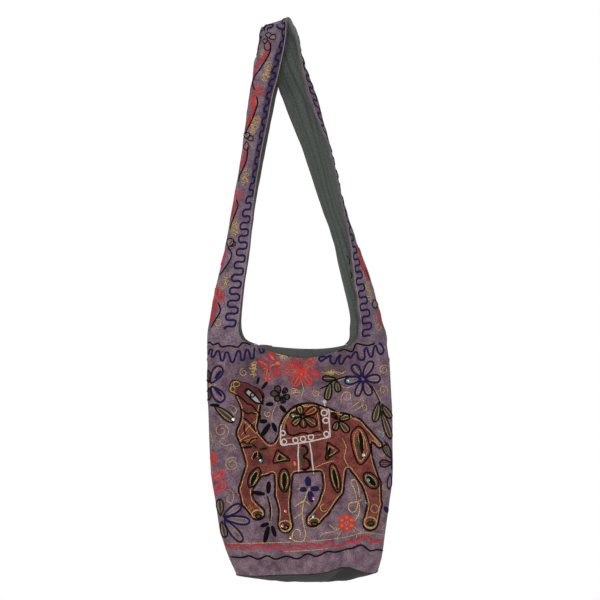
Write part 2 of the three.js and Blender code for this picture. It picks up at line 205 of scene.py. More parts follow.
# the front of the strap is trimmed at its roots, so the front lip begins further out than the back one
def lipBelow(face, across):
    x = pouchPoint(face, across, np.zeros_like(across))[..., 0]
    front = np.asarray(face) < 0
    mouthLeft = pouchSections[0, 1] + strapStations[0, 2] * np.where(front, 1 - pouch["leftTrim"], 1)
    mouthRight = pouchSections[0, 2] - strapStations[-1, 2] * np.where(front, 1 - pouch["rightTrim"], 1)
    share = (2 * x - mouthLeft - mouthRight) / (mouthRight - mouthLeft)
    dip = np.where(front, pouch["frontDip"], pouch["backDip"] * (1 + pouch["backLean"] * share))
    return dip * np.maximum(0, 1 - share ** 2) ** np.where(front, pouch["frontRound"], pouch["backRound"])


def bottomBelow(face, across):
    middle = np.where(np.asarray(face) < 0, pouch["bottomFront"], pouch["bottomBack"])
    below = pouch["bottomSide"] + (middle - pouch["bottomSide"]) * np.cos(across * math.pi / 2) ** 2
    return below - pouch["cornerLift"] * smoothStep(across, pouch["cornerFrom"], 1)


def pouchNormal(face, across, below, nudge=0.01):
    place = np.clip(across, 2 * nudge - 1, 1 - 2 * nudge)
    sideways = pouchPoint(face, place + nudge, below) - pouchPoint(face, place - nudge, below)
    down = pouchPoint(face, place, below + 1) - pouchPoint(face, place, below - 1)
    normal = np.cross(sideways, down)
    normal /= np.linalg.norm(normal, axis=-1, keepdims=True)
    return normal * np.asarray(face, float)[..., None]


# closed wall between two skins of grid points, as vertices and faces
def wall(outer, inner, wrapped=False):
    rows, columns = outer.shape[:2]
    points = np.concatenate([outer.reshape(-1, 3), inner.reshape(-1, 3)])
    index = np.arange(rows * columns).reshape(rows, columns)
    under = index + rows * columns
    if wrapped:
        index = np.concatenate([index, index[:, :1]], 1)
        under = np.concatenate([under, under[:, :1]], 1)

    def strip(a, b):
        return np.stack([a[:-1], a[1:], b[1:], b[:-1]], -1).reshape(-1, 4)

    faces = [strip(index[i], index[i + 1]) for i in range(rows - 1)]
    faces += [strip(under[i + 1], under[i]) for i in range(rows - 1)]
    faces += [strip(under[0], index[0]), strip(index[-1], under[-1])]
    if not wrapped:
        faces += [strip(index[:, 0], under[:, 0]), strip(under[:, -1], index[:, -1])]
    return points, np.concatenate(faces).tolist()


# mesh object from points in mm, with what its material reads: cloth lengths, run of the thread, and how far
# the cloth is darkened, by painted shade and, on the pouch lining, by an even darker tone
def newObject(name, points, faces, material, uv=None, along=None, soil=None, angle=50.0):
    mesh = bpy.data.meshes.new(name)
    mesh.from_pydata((points * mm).tolist(), [], faces)
    work = bmesh.new()
    work.from_mesh(mesh)
    bmesh.ops.recalc_face_normals(work, faces=work.faces)
    work.to_mesh(mesh)
    work.free()
    if uv is not None:
        corner = np.empty(len(mesh.loops), np.int32)
        mesh.loops.foreach_get("vertex_index", corner)
        layer = mesh.uv_layers.new(name="cloth")
        layer.data.foreach_set("uv", (uv[corner] * mm).astype(np.float32).ravel())
    if along is not None:
        run = mesh.attributes.new("along", "FLOAT", "POINT")
        run.data.foreach_set("value", (along * mm).astype(np.float32))
    if soil is not None:
        shadeLayer = mesh.attributes.new("soil", "FLOAT", "POINT")
        shadeLayer.data.foreach_set("value", np.concatenate([soil.ravel(), soil.ravel()]).astype(np.float32))
    mesh.materials.append(material)
    mesh.shade_smooth()
    mesh.set_sharp_from_angle(angle=math.radians(angle))
    made = bpy.data.objects.new(name, mesh)
    scene.collection.objects.link(made)
    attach(made, "root")
    return made


def runAlong(path):
    return np.concatenate([[0], np.cumsum(np.linalg.norm(np.diff(path, axis=0), axis=1))])


# lengths along both directions of a skin, for cloth coordinates
def flatLengths(skin):
    u = runAlong(skin[skin.shape[0] // 2])
    v = runAlong(skin[:, skin.shape[1] // 2])
    grid = np.stack(np.meshgrid(u, v), -1)
    return np.concatenate([grid.reshape(-1, 2)] * 2)


# colours are picked as screen values, 0 to 255
def dye(red, green, blue):
    def linear(value):
        v = value / 255
        return v / 12.92 if v <= 0.04045 else ((v + 0.055) / 1.055) ** 2.4

    return (linear(red), linear(green), linear(blue), 1.0)


# node group with named sockets; inputs give label, kind and value
def newGroup(name, inputs, outputs):
    group = bpy.data.node_groups.new(name, "ShaderNodeTree")
    for label, kind, value in inputs:
        socket = group.interface.new_socket(name=label, in_out="INPUT", socket_type="NodeSocket" + kind)
        if value is not None:
            socket.default_value = value
    for label, kind in outputs:
        group.interface.new_socket(name=label, in_out="OUTPUT", socket_type="NodeSocket" + kind)
    start = group.nodes.new("NodeGroupInput")
    end = group.nodes.new("NodeGroupOutput")
    return group, start, end


def setInputs(node, values):
    for label, value in values.items():
        node.inputs[label].default_value = value


def maths(group, operation, a, b=None):
    node = group.nodes.new("ShaderNodeMath")
    node.operation = operation
    for socket, value in zip(node.inputs, (a, b)):
        if value is None:
            continue
        if isinstance(value, (int, float)):
            socket.default_value = value
        else:
            group.links.new(value, socket)
    return node.outputs[0]


def colourMix(group, factor, a, b):
    node = group.nodes.new("ShaderNodeMix")
    node.data_type = "RGBA"
    group.links.new(factor, node.inputs["Factor"])
    for label, value in (("A", a), ("B", b)):
        socket = [s for s in node.inputs if s.name == label and s.type == "RGBA"][0]
        group.links.new(value, socket)
    return [s for s in node.outputs if s.type == "RGBA"][0]


def stretched(group, value, low, high):
    node = group.nodes.new("ShaderNodeMapRange")
    setInputs(node, {"From Min": low, "From Max": high})
    group.links.new(value, node.inputs["Value"])
    return node.outputs[0]


# plain weave: threads over and under, with slubs
weave, weaveIn, weaveOut = newGroup(
    "clothWeave",
    [("Vector", "Vector", None), ("Threads", "Float", 900.0), ("Slub", "Float", 0.5)],
    [("Height", "Float"), ("Shade", "Float")],
)
split = weave.nodes.new("ShaderNodeSeparateXYZ")
weave.links.new(weaveIn.outputs["Vector"], split.inputs[0])
threadTurns = maths(weave, "MULTIPLY", weaveIn.outputs["Threads"], math.pi)
overU = maths(weave, "SINE", maths(weave, "MULTIPLY", split.outputs["X"], threadTurns))
overV = maths(weave, "SINE", maths(weave, "MULTIPLY", split.outputs["Y"], threadTurns))
crossings = maths(weave, "MULTIPLY", maths(weave, "MULTIPLY", overU, overV), 0.35)
slub = weave.nodes.new("ShaderNodeTexNoise")
setInputs(slub, {"Scale": 420.0, "Detail": 3.0})
weave.links.new(weaveIn.outputs["Vector"], slub.inputs["Vector"])
slubbed = maths(weave, "MULTIPLY", slub.outputs["Fac"], weaveIn.outputs["Slub"])
weave.links.new(maths(weave, "ADD", crossings, slubbed), weaveOut.inputs["Height"])
weave.links.new(slub.outputs["Fac"], weaveOut.inputs["Shade"])

# uneven dye: from the cloth's colour to a faded and a deep one in clouds and flecks; then deeper by the
# mesh's painted shade, which also keeps painted light at the strap lining's crown, and by an even darker
# tone on the pouch lining
dyeShade, dyeShadeIn, dyeShadeOut = newGroup(
    "dyeAndPaintedShade",
    [
        ("Vector", "Vector", None), ("Shade", "Float", 0.5), ("Cloth", "Color", (0.2, 0.2, 0.2, 1)),
        ("Faded", "Color", (0.3, 0.3, 0.3, 1)), ("Deep", "Color", (0.1, 0.1, 0.1, 1)),
        ("Clouds", "Float", 26.0), ("ToneAndShade", "Float", 0.0),
    ],
    [("Color", "Color")],
)
clouds = dyeShade.nodes.new("ShaderNodeTexNoise")
setInputs(clouds, {"Detail": 5.0, "Roughness": 0.62})
dyeShade.links.new(dyeShadeIn.outputs["Vector"], clouds.inputs["Vector"])
dyeShade.links.new(dyeShadeIn.outputs["Clouds"], clouds.inputs["Scale"])
cloudy = stretched(dyeShade, clouds.outputs["Fac"], low=0.36, high=0.64)
flecks = stretched(dyeShade, dyeShadeIn.outputs["Shade"], low=0.46, high=0.76)
fadedBase = colourMix(dyeShade, cloudy, dyeShadeIn.outputs["Cloth"], dyeShadeIn.outputs["Faded"])
flecked = colourMix(dyeShade, flecks, fadedBase, dyeShadeIn.outputs["Deep"])
soiled = colourMix(dyeShade, dyeShadeIn.outputs["ToneAndShade"], flecked, dyeShadeIn.outputs["Deep"])
dyeShade.links.new(soiled, dyeShadeOut.inputs["Color"])

# thread laid in short stitches: each one dips where the next begins, and its colour is painted darker
# there, a painted shade that follows the dip
stitch, stitchIn, stitchOut = newGroup(
    "stitchRun",
    [
        ("Along", "Float", 0.0), ("Stitches", "Float", 300.0), ("Thread", "Color", (0.2, 0.2, 0.2, 1)),
        ("Gap", "Color", (0.05, 0.05, 0.05, 1)), ("Uneven", "Float", 0.3),
    ],
    [("Color", "Color"), ("Height", "Float")],
)
counted = maths(stitch, "MULTIPLY", stitchIn.outputs["Along"], stitchIn.outputs["Stitches"])
dome = maths(stitch, "SINE", maths(stitch, "MULTIPLY", maths(stitch, "FRACT", counted), math.pi))
fray = stitch.nodes.new("ShaderNodeTexNoise")
fray.noise_dimensions = "1D"
setInputs(fray, {"Scale": 0.45})
stitch.links.new(counted, fray.inputs["W"])
frayed = stretched(stitch, fray.outputs["Fac"], low=0.4, high=0.66)
bright = maths(stitch, "SUBTRACT", 1.0, maths(stitch, "MULTIPLY", frayed, stitchIn.outputs["Uneven"]))
shown = maths(stitch, "MULTIPLY", stretched(stitch, dome, low=0.05, high=0.75), bright)
stitchedColour = colourMix(stitch, shown, stitchIn.outputs["Gap"], stitchIn.outputs["Thread"])
stitch.links.new(stitchedColour, stitchOut.inputs["Color"])
stitch.links.new(dome, stitchOut.inputs["Height"])


def startMaterial(name):
    material = bpy.data.materials.new(name)
    material.use_nodes = True
    nodes = material.node_tree.nodes
    return material, nodes, material.node_tree.links, nodes["Principled BSDF"]


def groupNode(nodes, group, values):
    node = nodes.new("ShaderNodeGroup")
    node.node_tree = group
    setInputs(node, values)
    return node


def attributeNode(nodes, name):
    node = nodes.new("ShaderNodeAttribute")
    node.attribute_name = name
    return node


# colour and height of a group to the shader, the height through a bump
def finishLinks(nodes, links, shader, coloured, raised, strength, distance):
    bump = nodes.new("ShaderNodeBump")
    setInputs(bump, {"Strength": strength, "Distance": distance})
    links.new(raised.outputs["Height"], bump.inputs["Height"])
    links.new(bump.outputs["Normal"], shader.inputs["Normal"])
    links.new(coloured.outputs["Color"], shader.inputs["Base Color"])


def clothMaterial(name, look):
    material, nodes, links, shader = startMaterial(name)
    place = nodes.new("ShaderNodeUVMap")
    place.uv_map = "cloth"
    weaving = groupNode(nodes, weave, {"Threads": look["threads"], "Slub": look["slub"]})
    dyeAndShade = groupNode(nodes, dyeShade, {
        "Cloth": look["cloth"], "Faded": look["faded"], "Deep": look["deep"], "Clouds": look["clouds"],
    })
    links.new(place.outputs[0], weaving.inputs["Vector"])
    links.new(place.outputs[0], dyeAndShade.inputs["Vector"])
    links.new(weaving.outputs["Shade"], dyeAndShade.inputs["Shade"])
    # painted shade from the mesh darkens the dye toward its deep colour
    links.new(attributeNode(nodes, "soil").outputs["Fac"], dyeAndShade.inputs["ToneAndShade"])
    finishLinks(nodes, links, shader, dyeAndShade, weaving, strength=look["relief"], distance=0.0006)
    setInputs(shader, {
        "Roughness": 0.92, "Specular IOR Level": 0.2, "Sheen Weight": look["sheen"], "Sheen Roughness": 0.6,
    })
    return material


def threadMaterial(name, look):
    material, nodes, links, shader = startMaterial(name)
    running = groupNode(nodes, stitch, {
        "Stitches": 1000 / look["stitch"], "Thread": look["thread"], "Gap": look["gap"],
        "Uneven": look.get("uneven", 0.3),
    })
    links.new(attributeNode(nodes, "along").outputs["Fac"], running.inputs["Along"])
    finishLinks(nodes, links, shader, running, running, strength=0.5, distance=0.0005)
    setInputs(shader, {
        "Metallic": look.get("metal", 0.0), "Roughness": look.get("rough", 0.75),
        "Sheen Weight": look.get("sheen", 0.1), "Specular IOR Level": look.get("gloss", 0.2),
    })
    return material


lilacLook = {
    "cloth": dye(98, 74, 90), "faded": dye(146, 121, 131), "deep": dye(56, 40, 47),
    "clouds": 60.0, "threads": 620.0, "slub": 1.4, "relief": 0.7, "sheen": 0.1,
}
strapLook = dict(lilacLook, cloth=dye(104, 84, 100), faded=dye(150, 128, 140), deep=dye(56, 42, 60))
# the lining cloth's colour is lighter than the lining itself: it shows as painted light on the strap lining
# at the crown, which lies in shadow, and is darkened everywhere else
liningLook = {
    "cloth": dye(120, 128, 123), "faded": dye(132, 139, 134), "deep": dye(60, 64, 61),
    "clouds": 18.0, "threads": 900.0, "slub": 0.7, "relief": 0.4, "sheen": 0.1,
}
baseLook = dict(liningLook, cloth=dye(37, 39, 37), faded=dye(45, 47, 45), deep=dye(30, 31, 30))
camelLook = {
    "cloth": dye(105, 43, 38), "faded": dye(147, 76, 66), "deep": dye(54, 21, 22),
    "clouds": 70.0, "threads": 620.0, "slub": 1.5, "relief": 0.8, "sheen": 0.1,
}
lilacCloth = clothMaterial("lilacCloth", lilacLook)
strapCloth = clothMaterial("strapCloth", strapLook)
liningCloth = clothMaterial("liningCloth", liningLook)
baseCloth = clothMaterial("baseCloth", baseLook)
camelCloth = clothMaterial("camelCloth", camelLook)
print("cloths mixed")


# front and back panels of the pouch
def panelSkins(face, seed):
    across = np.linspace(-1, 1, pouch["columns"] + 1)
    share = np.linspace(0, 1, pouch["rows"] + 1)[:, None]
    top = lipBelow(face, across)[None, :] + pouch["halfGap"]
    below = top + (bottomBelow(face, across)[None, :] - top) * share
    sides = np.broadcast_to(across[None, :], below.shape)
    inner = pouchPoint(face, sides, below)
    inner[..., 1] += face * pouch["halfGap"]
    normal = pouchNormal(np.full(below.shape, face), sides, below)
    puckers = crumple(inner[..., 0], inner[..., 2], seed, pouch["shortCrumple"], pouch["longCrumple"])
    # flat at the side folds and along both edges
    settle = smoothStep(1 - np.abs(2 * share - 1), 0, pouch["edgeEase"])
    push = pouch["crumple"] * (1 + puckers) * (np.cos(sides * math.pi / 2) ** pouch["sideEase"] * settle)
    outer = inner + normal * (pouch["wall"] + push)[..., None]
    return outer, inner + normal * (push * pouch["innerCrumple"])[..., None]


frontOuter, frontInner = panelSkins(-1, seed=11)
backOuter, backInner = panelSkins(1, seed=12)
# painted shade on the front, where folds and hollows fall dark: x and depth below the seam, width and
# height of the spot, strength
frontShade = [
    (-38, 34, 26, 26, 0.72), (112, 30, 24, 24, 0.5), (-20, 8, 20, 14, 0.4), (-32, 130, 26, 110, 0.36),
    (0, 290, 20, 60, 0.36), (36, 40, 60, 20, 0.2), (96, 346, 22, 14, 0.24), (17, 250, 14, 34, 0.4),
    (96, 38, 34, 20, 0.6), (-56, 70, 18, 60, 0.34), (30, 54, 40, 22, 0.26), (40, 180, 140, 130, 0.1),
]


# painted shade at points: the strongest spot that reaches each
def paintedShadeAt(points):
    total = np.zeros(points.shape[:-1])
    for x, below, wide, tall, strength in frontShade:
        away2 = ((points[..., 0] - x) / wide) ** 2 + ((points[..., 2] + pouch["seam"] + below) / tall) ** 2
        total = np.maximum(total, strength * np.exp(-away2))
    return total


# the front panel carries its painted shade
frontPanel = newObject(
    "front_panel_cloth", *wall(frontOuter, frontInner), lilacCloth,
    uv=flatLengths(frontOuter), soil=paintedShadeAt(frontOuter),
)
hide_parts("front_panel")
backPanel = newObject(
    "back_panel_cloth", *wall(backOuter, backInner), lilacCloth, uv=flatLengths(backOuter),
)
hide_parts("back_panel")
print("panels made")

# base: oval of dark cloth sewn under the pouch
base = {
    "wall": 1.5, "gap": 0.3, "sag": 13.5, "shift": 26, "around": 180, "rings": 18, "inmost": 0.995,
    "seed": 31, "crumple": 0.8, "shortCrumple": 12.0, "longCrumple": 60.0,
}


# once round the pouch, the front first: face and place across
def roundPouch(turn):
    face = np.where(turn < 0.5, -1.0, 1.0)
    across = np.where(turn < 0.5, 4 * turn - 1, 3 - 4 * turn)
    return face, across


def bottomEdge(turn, grow, drop):
    face, across = roundPouch(turn)
    below = bottomBelow(face, across)
    edge = pouchPoint(face, across, below) + pouchNormal(face, across, below) * grow
    edge[..., 2] -= drop
    return edge


# rings from an edge in to a sagging middle
def saggingRings(edge, middle, shares):
    inShare = shares[:, None, None]
    rings = edge[None] + (middle + (base["shift"], 0, 0) - edge[None]) * inShare
    rings[..., 2] -= base["sag"] * (1 - (1 - inShare[..., 0]) ** 2)
    return rings


def baseSkin(drop):
    turn = np.arange(base["around"]) / base["around"]
    middle = bottomEdge(np.array([0.25, 0.75]), 0, drop).mean(0)
    shares = np.linspace(0, base["inmost"], base["rings"])
    skin = saggingRings(bottomEdge(turn, pouch["wall"], drop), middle, shares)
    ruck = crumple(skin[..., 0], skin[..., 1], base["seed"], base["shortCrumple"], base["longCrumple"])
    skin[..., 2] += base["crumple"] * ruck * np.sin(shares * math.pi)[:, None]
    return skin


baseWall = wall(baseSkin(base["gap"] + base["wall"]), baseSkin(base["gap"]), wrapped=True)
basePanel = newObject("base_panel_cloth", *baseWall, baseCloth, uv=baseWall[0][:, :2])
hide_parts("base_panel")

# lining of the pouch, a bag of its own inside the panels
lining = {
    "wall": 1.0, "sideRoom": 4.0, "depthRoom": 3.4, "hem": 2.0, "floorRoom": 3.0, "soil": 0.66,
    "around": 160, "rows": 60, "rings": 12,
}


def liningSkin(thick):
    turn = np.arange(lining["around"]) / lining["around"]
    face, across = roundPouch(turn)
    top = lipBelow(face, across) + lining["hem"]
    low = bottomBelow(face, across) - lining["floorRoom"] - thick
    share = np.linspace(0, 1, lining["rows"])[:, None]
    rooms = (lining["sideRoom"] + 2 * thick, lining["depthRoom"] + thick)
    sides = pouchPoint(face[None], across[None], top + (low - top) * share, *rooms)
    edge = sides[-1]
    middle = (edge[lining["around"] // 4] + edge[3 * lining["around"] // 4]) / 2
    shares = np.linspace(0, base["inmost"], lining["rings"])[1:]
    return np.concatenate([sides, saggingRings(edge, middle, shares)])


liningOuter = liningSkin(0.0)
liningWall = wall(liningOuter, liningSkin(lining["wall"]), wrapped=True)
# the pouch lining is darkened evenly from the lining cloth's colour to the lining's own darker tone
pouchLining = newObject(
    "pouch_lining_cloth", *liningWall, liningCloth,
    uv=flatLengths(liningOuter), soil=np.full(liningOuter.shape[:-1], lining["soil"]),
)
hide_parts("pouch_lining")
print("base and lining made")

# strap: one long band folded lengthwise, its roots opened on to the section of the pouch
strap = {
    "wall": 1.6, "half": 50.0, "rows": 340, "columns": 36, "finePlaces": 1200, "foldRound": 0.4,
    "rootBlend": 46, "rootSpread": 0.06, "spreadAt": 22, "spreadOver": 16,
    "liningNear": 0.3, "liningFar": 1.3, "liningReach": 0.97, "liningTuck": 4.0, "liningColumns": 80,
    "seed": 21, "crumple": 0.5, "shortCrumple": 14.0, "longCrumple": 70.0,
    "creaseAcross": -0.6, "creaseDepth": 6.0, "creaseWidth": 0.4, "creaseSoft": 0.08,
    "creaseLow": -320, "creaseEase": 80, "creaseStop": 40, "creaseEnd": 10,
}


# place on the strap: place counts stations, across goes from -1 on the front edge to 1 on the back edge
def strapPoint(place, across):
    place, across = np.broadcast_arrays(place, across)
    x, z, half, front, back, lean = (throughRows(strapStations[:, i], place) for i in range(6))
    above = z + pouch["seam"]
    rightSide = place > len(strapStations) / 2
    trim = np.where(rightSide, pouch["rightTrim"], pouch["leftTrim"])
    trim = trim * (1 - smoothStep(above, pouch["trimLow"], pouch["trimHigh"]))
    spread = strap["rootSpread"] * np.exp(-((above - strap["spreadAt"]) / strap["spreadOver"]) ** 2)
    across = across * np.where(across < 0, 1 - trim, 1 + np.where(rightSide, spread, 0))
    soft = np.hypot(across, strap["foldRound"]) - strap["foldRound"]
    soft = soft / (math.hypot(1, strap["foldRound"]) - strap["foldRound"])

    def opened(frontPart, backPart):
        return half * 0.5 * (soft * (frontPart + backPart) + across * (backPart - frontPart))

    front = np.radians(front)
    back = np.radians(back)
    bandX = x + opened(np.cos(front), np.cos(back))
    bandY = opened(np.sin(front), np.sin(back))
    bandZ = z + lean * across
    seamWidth = pouchSections[0, 2] - pouchSections[0, 1]
    angle = (2 / math.pi) * np.arcsin(np.clip(1 - 2 * half * np.abs(across) / seamWidth, -1, 1))
    angle = np.where(rightSide, angle, -angle)
    root = pouchPoint(np.where(across < 0, -1.0, 1.0), angle, np.zeros_like(angle))
    free = smoothStep(bandZ + pouch["seam"], 0, strap["rootBlend"])
    bandX = root[..., 0] + (bandX - root[..., 0]) * free
    bandY = root[..., 1] + (bandY - root[..., 1]) * free
    return np.stack([bandX, bandY, bandZ], -1)


def strapNormal(place, across, nudge=0.02):
    last = len(strapStations) - 1.0
    ahead = strapPoint(np.minimum(place + nudge, last), across)
    ahead = ahead - strapPoint(np.maximum(place - nudge, 0), across)
    sideways = strapPoint(place, across + nudge) - strapPoint(place, across - nudge)
    normal = np.cross(ahead, sideways)
    return normal / np.linalg.norm(normal, axis=-1, keepdims=True)


# distance along the fold line against place in the table of stations
finePlaces = np.linspace(0, len(strapStations) - 1.0, strap["finePlaces"])
foldLine = strapPoint(finePlaces, np.zeros_like(finePlaces))
foldRun = runAlong(foldLine)
strapLength = foldRun[-1]
crownRun = foldRun[np.argmax(foldLine[:, 2])]


# how far the front hem is turned inward, on the left side only
def hemTurned(along):
    height = np.interp(along, foldRun, foldLine[:, 2])
    turned = smoothStep(height, strap["creaseLow"], strap["creaseLow"] + strap["creaseEase"])
    return turned * (1 - smoothStep(along, crownRun - strap["creaseStop"], crownRun + strap["creaseEnd"]))


# crumpling, and the long crease where the hem turns
def strapRipple(along, across):
    fromCrease = np.hypot(across / strap["half"] - strap["creaseAcross"], strap["creaseSoft"])
    valley = np.maximum(0, 1 - fromCrease / strap["creaseWidth"])
    puckers = crumple(along, across, strap["seed"], strap["shortCrumple"], strap["longCrumple"])
    return strap["crumple"] * puckers - strap["creaseDepth"] * hemTurned(along) * valley


# lengthwise creases pressed into the lining, which wander a little: across, depth and width in mm
liningCreases = [(13, 1.0, 1.5), (24, 1.4, 1.7), (-22, 1.0, 1.8), (36, 1.2, 1.5), (43, 0.8, 1.3)]
creaseWander = {"swing": 2.5, "over": 61}


def liningCrease(along, across):
    total = np.zeros(np.broadcast(along, across).shape)
    for middle, depth, width in liningCreases:
        wander = middle + creaseWander["swing"] * np.sin(along / creaseWander["over"] + middle)
        total = total + depth * np.exp(-((across - wander) / width) ** 2)
    return total


def strapGrid(columns):
    return np.linspace(0, strapLength, strap["rows"])[:, None], np.linspace(-1, 1, columns + 1)[None, :]


def strapSkin(offset, columns, reach=1.0, creased=0.0):
    along, across = strapGrid(columns)
    place, across = np.broadcast_arrays(np.interp(along, foldRun, finePlaces), across * reach)
    acrossMm = across * strap["half"]
    ripple = strapRipple(along, acrossMm) - creased * liningCrease(along, acrossMm)
    skin = strapPoint(place, across) + strapNormal(place, across) * (offset + ripple)[..., None]
    skin[..., 2] = np.maximum(skin[..., 2], pouch["halfGap"] - pouch["seam"])
    return skin


# painted shade on the strap: the turned hem strip, the strap near its right root, the far half past the
# crown, and the lining's creases; the lining is darkened away from the crown, which keeps painted light
# there. Strength, and where each begins and is full; the hem's by share of the half width, the others by mm
# from the crown or, below zero, from the far end
strapShade = {
    "hem": 0.85, "hemOver": (0.62, 0.74), "root": 0.26, "rootOver": (-110, -40),
    "far": 0.42, "farOver": (20, 60), "farFade": (-200, -130),
    "lining": 0.58, "liningOver": (50, 120), "crease": 0.5,
}
along, across = strapGrid(strap["columns"])
fromEnd = along - strapLength
# painted shade: the hem strip turned from the light, the strap near its right root, and the far half past
# the crown, which lies in shadow
bandShade = strapShade["hem"] * hemTurned(along) * smoothStep(-across, *strapShade["hemOver"])
bandShade = bandShade + strapShade["root"] * smoothStep(fromEnd, *strapShade["rootOver"])
farShade = strapShade["far"] * smoothStep(along - crownRun, *strapShade["farOver"])
bandShade = bandShade + farShade * (1 - smoothStep(fromEnd, *strapShade["farFade"]))
strapOuter = strapSkin(strap["wall"], strap["columns"])
strapBand = newObject(
    "strap_cloth", *wall(strapOuter, strapSkin(0.0, strap["columns"])), strapCloth,
    uv=flatLengths(strapOuter), soil=bandShade,
)
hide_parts("strap")
liningUpper = strapSkin(-strap["liningNear"], strap["liningColumns"], strap["liningReach"], creased=0.8)
liningLower = strapSkin(-strap["liningFar"], strap["liningColumns"], strap["liningReach"], creased=1.0)
for skin in (liningUpper, liningLower):
    skin[[0, -1], :, 2] -= strap["liningTuck"]
along, across = strapGrid(strap["liningColumns"])
# painted light: the strap lining keeps the lighter lining colour at the crown, where it lies in shadow, and
# is darkened away from it; painted shade in its creases
paintedCrownLight = strapShade["lining"] * smoothStep(np.abs(along - crownRun), *strapShade["liningOver"])
creaseShade = np.minimum(strapShade["crease"] * liningCrease(along, across * strap["half"]), 1.0)
strapLining = newObject(
    "strap_lining_cloth", *wall(liningUpper, liningLower), liningCloth,
    uv=flatLengths(liningUpper), soil=1 - (1 - paintedCrownLight) * (1 - creaseShade),
)
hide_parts("strap_lining")
print("strap made")

# the camel: chains of round strokes, photograph pixels from the middle of the camel
camel = {
    "x": 308.0, "y": 467.0, "join": 2.6, "left": 224.0, "right": 396.0, "top": 370.0, "bottom": 546.0,
    "lift": 0.3, "wall": 1.0, "puff": 0.9, "puffOver": 3.0, "inset": 0.05, "shortest": 30,
    "seed": 41, "ruckle": 0.25, "shortRuckle": 5.0, "longRuckle": 22.0, "ruckleOver": 4.0,
    "soil": 0.5, "chestDarker": 0.16, "chestFade": (325, 350),
    "headDarker": 0.34, "headFadeX": (254, 268), "headFadeY": (392, 414),
}
camelChains = {
    "head": [(-72.5, 81, 5.5), (-63, 77, 6.8), (-53, 70, 9)],
    "nose": [(-72.5, 82, 5.2), (-74.6, 77.8, 4.4)],
    "jaw": [(-69, 75, 5.0), (-60.5, 61, 6.6)],
    "chest": [(-50, 1, 10), (-43.5, 0.5, 9.6)],
    "neck": [(-57, 64, 10), (-58, 48, 8.4), (-61, 34, 10.2), (-48, 10, 15)],
    "back": [(-48, 10, 15), (-31, 8, 14), (-10, 18, 24), (32, 26, 28), (44, 22, 19)],
    "hump": [(1, 34, 30), (12, 30, 30)],
    "bentForeleg": [(-52, 0, 10), (-62.5, -22, 6.5), (-60, -35, 6), (-50, -46, 7)],
    "foreleg": [(-24, 2, 9.8), (-25, -27, 8), (-23.5, -43, 5.5), (-22.5, -58, 7.5)],
    "hindleg": [(26, 4, 13), (25.5, -22, 10), (15, -42, 7), (5, -53, 7)],
    "rump": [(45, 20, 18.5), (53.5, 2, 12.2), (63.2, -17, 9.2), (66.2, -37, 7), (62, -56, 7.5)],
    "tail": [(50, 46, 3), (71, 22, 3.2)],
}


# distance outside the camel's outline, in pixels, and minus inside it
def camelDistance(px, py):
    x = px - camel["x"]
    z = camel["y"] - py
    nearest = None
    for chain in camelChains.values():
        for (x0, z0, r0), (x1, z1, r1) in zip(chain, chain[1:]):
            dx = x1 - x0
            dz = z1 - z0
            share = np.clip(((x - x0) * dx + (z - z0) * dz) / (dx * dx + dz * dz), 0, 1)
            away = np.hypot(x - x0 - share * dx, z - z0 - share * dz) - r0 - share * (r1 - r0)
            if nearest is None:
                nearest = away
                continue
            blend = np.clip(0.5 + 0.5 * (nearest - away) / camel["join"], 0, 1)
            nearest = nearest + (away - nearest) * blend - camel["join"] * blend * (1 - blend) * 0.5
    return nearest


# tree of a skin's faces, to cast pixels of the photograph on
def skinTree(skin):
    rows, columns = skin.shape[:2]
    quads = wall(skin, skin)[1][: (rows - 1) * (columns - 1)]
    return BVHTree.FromPolygons(skin.reshape(-1, 3).tolist(), quads)


frontTree = skinTree(frontOuter)
strapTree = skinTree(strapOuter)
liningTree = skinTree(liningLower)


# photograph pixels to places and normals on the front of the pouch, or of the strap above its seam
def frontSpot(pixels, trees=(frontTree, strapTree)):
    places = np.empty((len(pixels), 3))
    normals = np.empty((len(pixels), 3))
    start = Vector(eye)
    for i, (px, py) in enumerate(pixels):
        right = (px - photo["middle"]) * photo["mmPerPixel"]
        up = (photo["middle"] - py) * photo["mmPerPixel"]
        ray = Vector((right, photo["away"], up))
        hits = [tree.ray_cast(start, ray.normalized()) for tree in trees]
        hits = [hit for hit in hits if hit[0] is not None]
        # a pixel beside the cloth goes to the place nearest to it
        found = min(hits, key=lambda hit: hit[3]) if hits else trees[0].find_nearest(start + ray)
        places[i] = found[0]
        normals[i] = found[1]
    normals[normals[:, 1] > 0] *= -1
    return places, normals


def onStrapFront(pixels):
    return frontSpot(np.asarray(pixels, float), (strapTree,))


def onLining(pixels):
    return frontSpot(np.asarray(pixels, float), (liningTree,))


# height of the camel patch's top above the cloth
def patchRise(inside):
    puff = camel["puff"] * (1 - np.exp(-np.maximum(inside, 0) / camel["puffOver"]))
    return camel["lift"] + camel["wall"] + puff


def onFront(pixels):
    pixels = np.asarray(pixels, float)
    places, normals = frontSpot(pixels)
    inside = -camelDistance(*pixels.T)
    lift = np.where(inside > 0, patchRise(inside), 0.0)
    return places + normals * lift[:, None], normals


# cells of a pixel each, with the outer ones drawn to the outline
pixelsX = np.arange(camel["left"], camel["right"])
pixelsY = np.arange(camel["top"], camel["bottom"])
gridX, gridY = np.meshgrid(pixelsX, pixelsY)
cellInside = camelDistance(gridX[:-1, :-1] + 0.5, gridY[:-1, :-1] + 0.5) < 0
number = np.arange(gridX.size).reshape(gridX.shape)
corners = np.stack([number[:-1, :-1], number[:-1, 1:], number[1:, 1:], number[1:, :-1]], -1)[cellInside]
used, renumbered = np.unique(corners, return_inverse=True)
cells = renumbered.reshape(-1, 4).tolist()
spots = np.stack([gridX.ravel()[used], gridY.ravel()[used]], -1)

